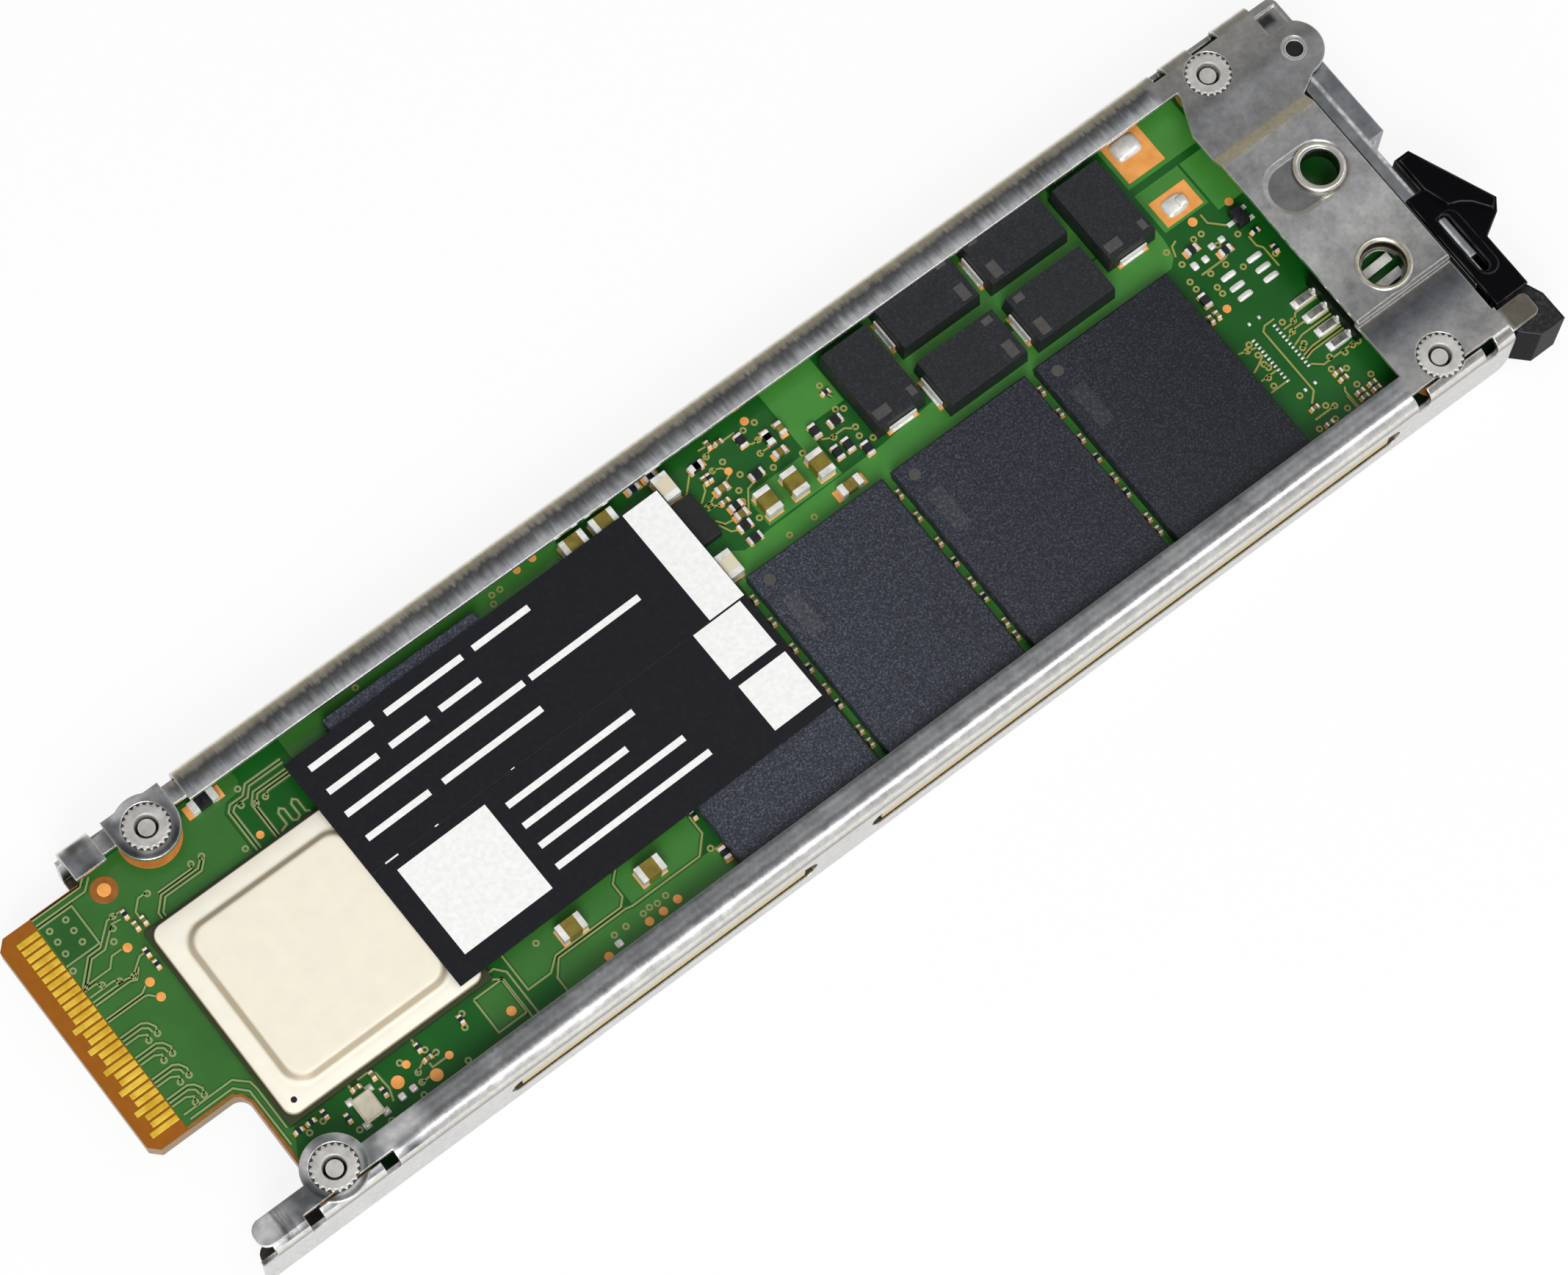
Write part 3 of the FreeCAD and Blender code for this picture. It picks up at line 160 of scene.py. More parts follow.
PAIR_TURNS = (
    (3, 0, 4.7, 0, 5.1, -0.25, 5.4, -0.8, 5.25, -1.15), (3, -0.3, 4.55, -0.3, 4.95, -0.6, 5, -1),
    (3, -0.62, 4.1, -0.62, 4.6, -0.9, 4.5, -1.2),
)
PAIR_VIAS = ((5.2, -1.25), (4.45, -1.3))

# Plated holes, each a small ring under the mask
VIA_RING = (0.12, 0.26)
VIAS = (
    3.55, -0.35, 4.9, -0.35, 3.55, -1.3, 4.9, -1.3, 3.5, -2.3, 4.9, -2.3, 3.2, -3.6, 4.2, -5.6, 5.3, -6.1,
    6.3, -6.4, 6.6, -3.6, 7.6, -2.1, 7.1, -2.8, 10.4, -2.2, 14, -2.3, 14.9, -2.3, 17.6, -3.7, 19.7, 0.1,
    20.1, -1.5, 20.9, -1.5, 19.2, -1, 42.1, 0.8, 42.8, 0.8, 41.8, 0.2, 30.5, 1.1, 29.4, -21.2, 43, -23.1,
    34, -24, 35, -24, 36.5, -24, 37.1, -23.9, 37.7, -24, 38.5, -23.9, 61.4, -8.3, 63.6, -8.3, 60.3, -0.1,
    60, -1.2, 61.4, -2.6, 63.5, -2.2, 64, -1.3, 63.6, -3.6, 60.6, -3.5, 60.3, -4.3, 60.5, -6, 61, -1.1,
    64.6, -0.1, 63.6, -0.1, 58.3, -3.2, 59, -3.6, 65.9, -4, 69.8, -2.8, 70, -0.7, 70.3, -3.1, 70.1, -4.7,
    69.9, -5.4, 70.6, -6.1, 68.4, -4.4, 96.1, -7.7, 96.4, -9.1, 96, -10.5, 96, -11.2, 97.3, -12,
    97.3, -12.6, 97.6, -10.9, 99.8, -11.9, 98.9, -11, 102.3, -12.5, 98.3, -8.1, 99, -8.1, 99.4, -9.5,
    101.1, -9.7, 99.3, -16.9, 100, -17.3, 99.4, -17.9, 99.2, -19.3, 99.5, -19.1, 100.3, -21, 101.4, -21.4,
    102.2, -21.3, 102.7, -21.3, 99.8, -21.8, 100.7, -22.4, 96.3, -16.8, 95.9, -17.1, 96.3, -17.8,
    96.2, -18.6, 96.3, -19, 95.8, -19.6, 95.7, -20.3, 96.7, -22, 98.2, -24.1, 96.2, -24.8, 97.6, -24.9,
    98.8, -24.8, 97.7, -23.7, 100.5, -23.8, 101.8, -23.8, 9.3, -22.5, 10.5, -22.4, 17, -22.3, 18.9, -22.6,
    17.6, -23.6, 19.4, -23.2, 17.4, -24.3, 22, -23, 22.4, -22.1, 20.8, -25, 17, -25.1, 14.2, -25.2,
    12.1, -24.4,
)
# Bare copper test points: X, Y, radius; the first has bare laminate round it
TEST_POINTS = (
    (8.2, -0.2, 0.5), (19, -3.5, 0.3), (7.1, -4.5, 0.34), (6.9, -7.4, 0.34), (6.9, -8.7, 0.34),
    (17.3, -22.65, 0.3), (16.1, -23.3, 0.48), (18.5, -24.5, 0.47), (20, -23.9, 0.3), (25.2, -24, 0.36),
    (32.8, -25, 0.34), (36.5, -24.7, 0.33), (37.7, -24.7, 0.33), (39, -24.6, 0.33), (44.6, 1.25, 0.3),
    (46, 1.3, 0.3), (60.9, -1.9, 0.3), (64.1, 0.4, 0.33), (96.8, -13.7, 0.32), (99.1, -7, 0.36),
    (102.2, -7.35, 0.33),
)
FIDUCIAL_CLEAR = 1
# Bare copper lands: middle X, middle Y, length, width; and the rings under the nuts, darkened by painted
# shade
LANDS = ((99, -0.2, 3.35, 3.5), (99.05, -5.15, 3.3, 2.3))
LAND_RING = (1.3, 2.32)
LAND_EDGE = 0.65
LAND_SIDES = 40
# Bare laminate along the board's cut edges at the card end
RIM_WIDTH = 0.24
RIMS = ((2.95, 1.08, 7.3, 1.08), (2.95, -17.22, 6.6, -17.22, 7.2, -17.6, 7.52, -18.4, 7.52, -24))
# Tinned pads: middle X, middle Y, length, width
TIN_PADS = (
    (98.5, -11.8, 1.3, 0.5), (98.5, -12.8, 1.3, 0.5), (98.5, -13.7, 1.3, 0.5), (100.9, -11.8, 1.3, 0.5),
    (100.9, -12.8, 1.3, 0.5), (100.9, -13.7, 1.3, 0.5), (98, -9.8, 0.55, 0.6), (99, -9.3, 0.55, 0.55),
    (99.9, -9.3, 0.55, 0.55), (97.05, -9.75, 0.55, 0.7), (97.3, -15.6, 0.25, 0.3), (98.2, -15.6, 0.25, 0.3),
    (97.3, -21.9, 0.25, 0.3), (98.2, -21.9, 0.25, 0.3), (33.9, -24.7, 0.6, 0.6),
)
TIN_HEIGHT = 0.16
SQUARE = 0.45
# Columns of fine pads: X, first Y, count
FINE_PITCH = 0.35
FINE_PAD = (0.3, 0.17)
FINE_COLUMNS = ((98.7, -16.75, 12), (96.75, -16.75, 12))
CLOCK_PAD = 0.55
# Solder mounds: middle X, middle Y, length, width, height
SOLDER = (
    (98.9, 0.45, 2.3, 1.7, 0.35), (98.85, -5.2, 1.9, 1.5, 0.3), (99.45, -5.3, 0.9, 1, 0.5),
    (15.75, -24.3, 0.55, 0.6, 0.25), (16.7, -24.3, 0.55, 0.6, 0.25),
)
# Solder and leads of the spring contacts: reach from the spring's end, length, width, low, high
SPRING_FOOT = (0.95, 1.95, 0.82, 0, 0.34)
SPRING_TIP = (1.95, 0.42, 0.45, 0.2, 0.85)
SPRING_LEAD = (1, 1.3, 0.5, 0.25, 0.42)
LEAD_EASE = 0.08

# Small chip parts: length, width and height of each kind; middle X, middle Y, turned or not
CHIP_SIZES = {
    "cap": (1, 0.55, 0.5), "res": (1, 0.55, 0.35), "mini_cap": (0.62, 0.32, 0.3),
    "mini_res": (0.62, 0.32, 0.24), "long_cap": (1.9, 0.85, 0.7), "long_res": (2.2, 0.95, 0.5),
}
CHIPS = {
    "mini_res": (
        (8.3, -2.5, 1), (7.95, -5.6, 1), (8, -6.7, 1), (8.8, -22, 0), (9.8, -22, 0), (10.85, -22.1, 1),
        (18.6, -22.2, 1), (22.1, -22.4, 1), (11.95, -23.3, 1), (14.95, -23.3, 1), (59.5, -1.5, 1),
        (70, -1.4, 0), (102.2, -10.3, 0), (102.5, -12.2, 1), (43.5, -20.5, 1),
    ),
    "mini_cap": (
        (8.45, -3.65, 1), (9.1, -3.65, 1), (13.6, -21.95, 0), (15, -21.9, 1), (18.7, -23.25, 0),
        (59.1, -1.5, 1), (59.3, -3.6, 0), (60.9, 0.5, 1), (61.6, 0.2, 0), (95.3, -13.7, 1),
        (95.9, -13.7, 1), (96.9, -23.4, 0), (97, -24.95, 0), (100, -22.3, 0), (100, -22.9, 0),
        (100.3, -24.4, 0), (101.4, -24.4, 0), (100.3, -24.9, 0), (101.4, -24.9, 0),
    ),
    "res": (
        (59.3, -0.3, 0), (59.7, -4.35, 0), (64.6, -1.6, 1), (97.6, -8.7, 0), (99.5, -10.2, 0),
        (54.7, 1.1, 0), (56.2, 1.1, 0), (43.55, -24, 1),
    ),
    "cap": ((59.65, -2.75, 0), (59.6, -5.1, 0), (65.7, -1.65, 1), (64.6, -3.05, 0)),
    "long_cap": ((66.97, -8.1, 0),),
    "long_res": ((17.25, 0.75, 0),),
}
# Columns of small turned parts in the gaps between the flash packages, and their places in Y
GAP_COLUMNS = (56.45, 69.4, 82.25)
GAP_STEPS = {"mini_cap": (-10.6, -12.7, -15.1, -18.8, -22.6, -23.8), "mini_res": (-16.9, -20.2)}
# A chip's metal ends and pads as shares of its size, and the pads' extra reach in millimetres
END_SHARE = 0.27
END_WIDER = 1.06
END_HIGHER = 1.05
PAD_LONGER = 1.3
PAD_WIDER = 1.1
PAD_REACH = 0.02
CHIP_EASE = 0.04
END_EASE = 0.06
# Pads under the larger parts: margin round a terminal; and solder at the moulded capacitors
PAD_MARGINS = {"ceramic_terminals": 0.14, "resistor_terminals": 0.1, "tantalum_terminals": 0.3}
FILLET_SHARE = 0.72
FILLET_HEIGHT = 0.08
FILLET_EASE = 0.1
# A small regulator: place, body as length, width, low, high, and its leads
REGULATOR = (101.9, -8.8)
REGULATOR_BODY = (0.95, 1.45, 0.1, 0.75)
REGULATOR_EASE = 0.06
REGULATOR_LEADS = ((-0.72, 0), (0.72, -0.48), (0.72, 0.48))
REGULATOR_LEAD = (0.55, 0.34, 0, 0.14)

# Sticker print, from the lower sticker's corner: start, level, length of each bar
LABEL_CORNER = (23.3, -20.86)
LABEL_TURN = 0.85
LABEL_BARS = (
    (1.25, 18.65, 5.4), (7.75, 18.65, 6.7), (15.4, 18.65, 4.9), (1.25, 16.55, 4.3), (6.6, 16.55, 3.3),
    (10.9, 16.55, 3.5), (1.25, 14.5, 15.4), (17.2, 14.5, 9.6), (1.35, 12.25, 5.4), (7.9, 12.25, 8.6),
    (10.3, 8.15, 11), (10.3, 6.3, 9), (10.3, 4.5, 12.6), (10.3, 2.6, 13.4),
)
BAR_HEIGHT = 0.5
# White fields of the sticker: low U, low V, high U, high V
LABEL_FIELDS = (
    (29.6, 10.1, 32.65, 19.95), (1.6, 1.6, 9.15, 9.2), (28, 5.85, 32.15, 9.95), (28.15, 1, 32.3, 5.1),
)
# The seam where the two stickers meet, and the pale slivers where it opens
SEAM_LINE = 10.05
SEAM_REACH = (0, 29.5)
SEAM_WIDTH = 0.12
SEAM_GAPS = ((1.25, 10, 2.35, 10.12), (5.5, 10.01, 5.8, 10.1), (12.1, 10.02, 12.4, 10.09))

# Polarity bars of the moulded capacitors: the end that each is at, sizes and insets
TANTALUM_BARS = {1: "low", 2: "front", 3: "back", 4: "front", 5: "back", 6: "low"}
BAR_LONG = 1.3
BAR_SHORT = 0.55
BAR_INSET = 0.55
BAR_WIDTH = 0.8
BAR_MARGIN = 0.35
# Mould marks and faint fields on the flash packages of the top face
TOP_FLASH = range(1, 5)
CODE_INSET = 1.5
CODE_DROP = 4.6
CODE_WIDTH = 1.3
CODE_LENGTH = 3.6
DOT_INSET = 1.15
DOT_RADIUS = 0.45

# Nut profile from the bore's mouth outwards and down: share of the radius, knurl depth, drop
NUT_PROFILE = (
    (0.49, 0, 2), (0.49, 0, 0.12), (0.53, 0, 0), (0.84, 0, 0), (0.98, 0.16, 0.03), (1, 0.18, 0.08),
    (1, 0.18, 0.36), (0.72, 0, 0.37), (0.72, 0, 2.44),
)
NUT_BORE = 0.49
KNURL_TEETH = 22
KNURL_STEPS = 4
# Dark rings of painted shadow round the knurl, and a dark disc of painted shade in the pin's bore: inner
# share, drops below the top, sides, disc radius
SEAT_INNER = 0.73
SEAT_LOW = 0.42
SEAT_HIGH = 0.24
SEAT_SIDES = 48
PIN_BORE = 0.63
# Lid profile from its foot up: inset, height, corner radius, sideways shift; and a round mark
LID_PROFILE = (
    (0, 0, 0.9, 0), (0, 0.42, 0.9, 0), (0.03, 0.47, 0.88, 0), (0.1, 0.5, 0.85, 0), (1.1, 0.5, 1.7, -0.1),
    (1.22, 0.505, 1.7, -0.1), (1.36, 0.54, 1.65, -0.1), (1.5, 0.62, 1.6, -0.1), (1.64, 0.74, 1.55, -0.1),
    (1.77, 0.84, 1.5, -0.1), (1.9, 0.89, 1.45, -0.1), (2.02, 0.9, 1.4, -0.1), (2.4, 0.9, 1.2, -0.1),
)
LID_FLANGE = 0.5
LID_MARK_INSET = 0.95
LID_MARK = 0.22
# Formed holes from the outer foot over the rim and down inside: radius, height above the panel
COLLAR_PROFILE = (
    (1.97, -0.22), (1.96, 0.04), (1.91, 0.14), (1.8, 0.19), (1.64, 0.18), (1.52, 0.12), (1.44, 0),
    (1.42, -0.4), (1.42, -1.3), (1.55, -1.3), (1.6, -0.3),
)
DRAWN_PROFILE = (
    (2.14, -0.02), (2.1, 0.05), (2, 0.1), (1.87, 0.08), (1.74, -0.02), (1.64, -0.2), (1.55, -0.55),
    (1.48, -1.3), (1.58, -1.3), (2, -0.3),
)
# Each hole's setback from the bridge's end, its place across the frame, and its profile
HOLES = ((3, 2.4, COLLAR_PROFILE), (4.1, -6.1, DRAWN_PROFILE))
# The wider start of the low floor lip, under the tongue at the card end, painted dark with shade
FOOT_PLAN = (
    1.9, -27.17, 1.86, -26.7, 1.98, -26.42, 2.2, -26.2, 2.5, -26.04, 2.9, -25.96, 7.9, -25.96, 8.3, -26.4,
    8.4, -27.17,
)
FOOT_LEVELS = (-3.99, -3.61)
# Raised grip inside the latch's outline, and its rise over the latch's top face
GRIP_PLAN = (
    113.1, -12.82, 114.14, -12.82, 115.5, -16.05, 116.83, -19.25, 116.6, -19.58, 116.2, -19.9, 115.3, -18.6,
    114.6, -18.05, 113.75, -17.7, 113.1, -15.7,
)
LATCH_TOP = 2.1
GRIP_SINK = 0.03
GRIP_RISE = 0.3
GRIP_EASE = 0.03
# Middle, low end, high end and half width of each loop round the slot, with its level over the top face
SLOT_RIM = (
    (113.12, -23.7, -17.75, 0.92, -0.04), (113.12, -23.62, -17.83, 0.84, 0.1),
    (112.83, -23.2, -17.95, 0.45, 0.1), (112.83, -23.14, -18.01, 0.39, -0.04),
)
# The top face of the locking tongue, made paler with painted sheen
TONGUE_PLAN = (
    111.72, -28.03, 112.88, -29.19, 114.93, -29.19, 114.93, -26.88, 114.46, -25.72, 111.72, -25.72,
)
TONGUE_TOP = 1.7

# Camera, in metres in the row frame
CAMERA_AT = Vector((-0.08112, -0.08949, 0.35397))
CAMERA_LOOK = Vector((0.21394, 0.23908, -0.94714))
CAMERA_UP = Vector((0.57509, 0.75293, 0.31996))
LENS_MM = 121.49
SENSOR_MM = 36
# Floor, in metres, and the share of white seen on it by the camera and by mirror-like metal
FLOOR_HALF = 3
FLOOR_DROP = 0.0002
FLOOR_GLOW = 0.88
FLOOR_COLOUR = (0.82, 0.82, 0.82)
# Height on the unit sky and colour there, from low to high
ROOM = ((0.2, (0.95, 0.95, 0.95)), (0.75, (0.36, 0.36, 0.37)))
FAR_WALL = ((0.1, (0.5, 0.46, 0.38)), (0.85, (0.36, 0.36, 0.37)))
FAR_WALL_TURN = (0.25, 0.6)
# Lamps: name, place and size in metres, watts
LAMPS = (
    ("key_lamp", (-0.28, -0.42, 0.5), 0.35, 0.35, 4), ("strip_lamp", (0.12, -0.16, 0.6), 0.6, 0.06, 0.8),
)

# Painted reflections and highlights across the sheet from the frame's low side to its high side: share of its
# width, colour
LIP_REFLECTIONS = (
    (0, (0.62, 0.6, 0.54)), (0.02, (0.85, 0.85, 0.84)), (0.03, (0.92, 0.92, 0.91)),
    (0.036, (0.42, 0.425, 0.43)), (0.042, (0.3, 0.305, 0.31)), (0.051, (0.5, 0.505, 0.51)),
    (0.061, (0.37, 0.375, 0.385)), (0.07, (0.44, 0.455, 0.46)), (0.08, (0.19, 0.2, 0.205)),
    (0.5, (0.6, 0.6, 0.6)), (0.92, (0.95, 0.95, 0.95)), (0.931, (0.7, 0.715, 0.73)),
    (0.939, (0.45, 0.46, 0.465)), (0.948, (0.25, 0.255, 0.26)), (0.961, (0.15, 0.15, 0.15)),
    (0.967, (0.28, 0.27, 0.24)), (0.972, (0.5, 0.47, 0.39)), (0.99, (0.68, 0.64, 0.53)),
)
# Painted reflections and shade across the bridge, from the frame's low side to its high side: share of its
# width, colour
BRIDGE_REFLECTIONS = (
    (0.013, (0.5, 0.49, 0.46)), (0.09, (0.45, 0.45, 0.45)), (0.128, (0.4, 0.4, 0.405)),
    (0.152, (0.28, 0.29, 0.305)), (0.176, (0.18, 0.19, 0.205)), (0.2, (0.125, 0.13, 0.14)),
    (0.222, (0.16, 0.155, 0.145)), (0.234, (0.3, 0.29, 0.27)), (0.25, (0.37, 0.37, 0.375)),
    (0.31, (0.47, 0.465, 0.455)), (0.41, (0.68, 0.675, 0.66)), (0.47, (0.62, 0.615, 0.61)),
    (0.66, (0.5, 0.5, 0.505)), (0.7, (0.53, 0.525, 0.515)), (0.712, (0.64, 0.61, 0.5)),
    (0.738, (0.6, 0.575, 0.48)), (0.745, (0.42, 0.42, 0.42)), (0.836, (0.42, 0.425, 0.43)),
    (0.86, (0.31, 0.31, 0.3)), (0.885, (0.4, 0.395, 0.38)), (0.925, (0.42, 0.41, 0.4)),
    (0.98, (0.45, 0.44, 0.4)),
)
# Painted shade on the dish's floor: share of the way from the lips' level up to the panel's, shade
DISH_SHADE = ((0, 1), (0.6, 1), (0.63, 0.5), (0.7, 0.5), (0.78, 0.8), (0.95, 0.85), (0.99, 1))
DISH_TILT = ((0.9, 0), (0.98, 1))
# Painted reflections on the walls under the top bend, from below upwards
WALL_REFLECTIONS = (
    (0, (0.7, 0.695, 0.68)), (0.3, (0.72, 0.715, 0.7)), (0.42, (0.38, 0.37, 0.35)),
    (0.55, (0.42, 0.41, 0.38)), (0.67, (0.8, 0.77, 0.7)), (0.83, (0.95, 0.94, 0.93)), (1, (0.9, 0.9, 0.89)),
)
WALL_BAND = 1.8
# Greys of the tabs at the card end, patches of painted reflection laid out by noise: where they give way to
# the lips, and noise level, colour
CARD_END = (14.5, 16.5)
END_REFLECTIONS = (
    (0.4, (0.2, 0.205, 0.21)), (0.48, (0.42, 0.425, 0.43)), (0.54, (0.66, 0.665, 0.665)),
    (0.6, (0.95, 0.95, 0.94)),
)
# Grain of the streaks along each axis, and how far they wander on the low and the high side
STREAK_GRAIN = (2800, 260, 260)
LIP_RAGGED = ((0.1, 0.012), (0.9, 0.035))
# The bend across the tongue at the card end, where painted shade darkens the streaks
TONGUE_BEND = (3.55, 4.7)
TONGUE_SOFT = 0.2
TONGUE_SIDE = ((0.09, 1), (0.11, 0))
BEND_SHADE = ((0.4, 0.35), (0.6, 0.85))
# Painted shade, with a painted highlight at its edge, in the coined ring round the two card-end nuts, on
# their low sides: share of the reach, shade
COIN_NUTS = 2
COIN_REACH = 4
COIN_TURN = 0.9
COIN_SHADE = ((0.44, 1), (0.475, 1.1), (0.505, 0.55), (0.55, 0.45), (0.58, 1))
# Where the bridge begins, and the tab beyond its end with its painted dark tan reflection
BRIDGE_FADE = (-0.5, 0.1)
TAB_FADE = (0.1, 0.5)
TAB_SIDE = ((0.3, 1), (0.35, 0))
FRONT_TAB_REFLECTION = (0.18, 0.16, 0.13)
# Painted shade on the upper faces of the floor lips, deep in the frame
INSIDE_LEVELS = (-2, 0)
INSIDE_SHADE = (0.13, 0.11, 0.085)
# Painted shade in the hollow of the formed corner tab
HOLLOW_SHADE = (0.07, 0.07, 0.068)
HOLLOW_ALONG = (111.8, 113.45)
HOLLOW_SOFT = 0.4
HOLLOW_ACROSS = ((0.914, 0), (0.928, 1), (0.944, 1), (0.957, 0))
# Painted highlights along the sheet's edges, and how its surface varies: noise level, share
EDGE_HIGHLIGHT_TINT = (0.92, 0.91, 0.88)
EDGE_HIGHLIGHT_RADIUS = 0.22
EDGE_HIGHLIGHT_SHARE = 0.55
SHEET_WORN = ((0.36, 0.74), (0.62, 1))
SHEET_ROUGHNESS = ((0.3, 0.24), (0.7, 0.38))
SHEET_EDGE = 0.14
# Painted highlight along the handle's top bend
BEND_ALONG = (112.36, 112.8)
BEND_SOFT = 0.16
BEND_LEVELS = (1.5, 1.54)
BEND_BREAKS = ((0.4, 0.45), (0.6, 1))
# The lid's two levels, and the slopes between them, which get painted brown shade
LID_LEVELS = (1.02, 1.3)
LID_SLOPE = ((0.86, 0), (0.995, 1))
# Rolled rims from below the panel to above it: painted shade, dark and brownish, down inside the hole, bright
# at the top
RIM_LEVELS = (PANEL_LEVEL - 1.4, PANEL_LEVEL + 0.2)
RIM_SHADE_TINTS = (
    (0, (0.03, 0.03, 0.025)), (0.72, (0.2, 0.17, 0.11)), (0.88, (0.62, 0.58, 0.48)), (1, (0.9, 0.87, 0.78)),
)
# Places along the board: the cream capacitors, where greens and cut sides change tone, and where the
# packages' painted sheen fades
CREAM = (55.6, 57.3)
CREAM_SOFT = 0.1
GREEN_CHANGE = (20, 60)
PACKAGE_CHANGE = (55, 92)
SIDE_CHANGE = (9, 20)
# Tints of the brown chip capacitors
BROWN_CERAMIC = ((0.13, 0.095, 0.006), (0.2, 0.155, 0.015))
# Noise levels between which one tint gives way to another
FADE = ((0.35, 0), (0.65, 1))
# Filler specks in moulded resin, and patchy painted highlights along its edges
SPECKS = ((0.36, 0), (0.52, 0.2), (0.68, 1))
RESIN_HIGHLIGHT_RADIUS = 0.24
RESIN_HIGHLIGHT_BREAKS = ((0.38, 0.1), (0.6, 1))
PLATE_HIGHLIGHT_RADIUS = 0.2
# How far a rounded edge leans from its face, and the upright share of faces that count as level
EDGE_LEAN = ((0.72, 1), (0.97, 0))
LEVEL_FACE = 0.7
BEVEL_SAMPLES = 6
# Limit on the mitre at a sharp corner of a track
MITRE_LIMIT = 0.5
WHITE = (1, 1, 1)


def row(x, y, z=0):
    """A point in the row frame from a place on the board."""
    return Vector((CARD_EDGE + x * MM, FIRST_CONTACT + y * MM, BOARD_TOP + z * MM))


def spot(point):
    """The place on the board of a point in the row frame."""
    return (point[0] - CARD_EDGE) / MM, (point[1] - FIRST_CONTACT) / MM, (point[2] - BOARD_TOP) / MM


def points(flat):
    """A flat row of numbers as plan points."""
    return list(zip(flat[::2], flat[1::2]))


def corners(low_x, low_y, high_x, high_y):
    """The plan of an upright rectangle."""
    return (low_x, low_y), (high_x, low_y), (high_x, high_y), (low_x, high_y)


def middle(low, high):
    """The middle in plan between two corners."""
    return (low[0] + high[0]) / 2, (low[1] + high[1]) / 2


def placed(name, data):
    """A new object in the scene."""
    obj = bpy.data.objects.new(name, data)
    bpy.context.collection.objects.link(obj)
    return obj


def board_box(name):
    """A CAD node's lowest and highest corners as places on the board."""
    low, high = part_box(name)
    return spot(low), spot(high)


def islands(name):
    """Lowest and highest corners of each separate solid of a CAD node, as places on the board."""
    bm = bmesh.new()
    bm.from_mesh(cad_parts[name].data)
    bmesh.ops.remove_doubles(bm, verts=bm.verts, dist=MM * 1e-4)
    waiting = set(bm.verts)
    found = []
    while waiting:
        edge = [waiting.pop()]
        members = []
        while edge:
            vert = edge.pop()
            members.append(spot(vert.co))
            for link in vert.link_edges:
                other = link.other_vert(vert)
                if other in waiting:
                    waiting.discard(other)
                    edge.append(other)
        found.append((tuple(map(min, zip(*members))), tuple(map(max, zip(*members)))))
    bm.free()
    return sorted(found)


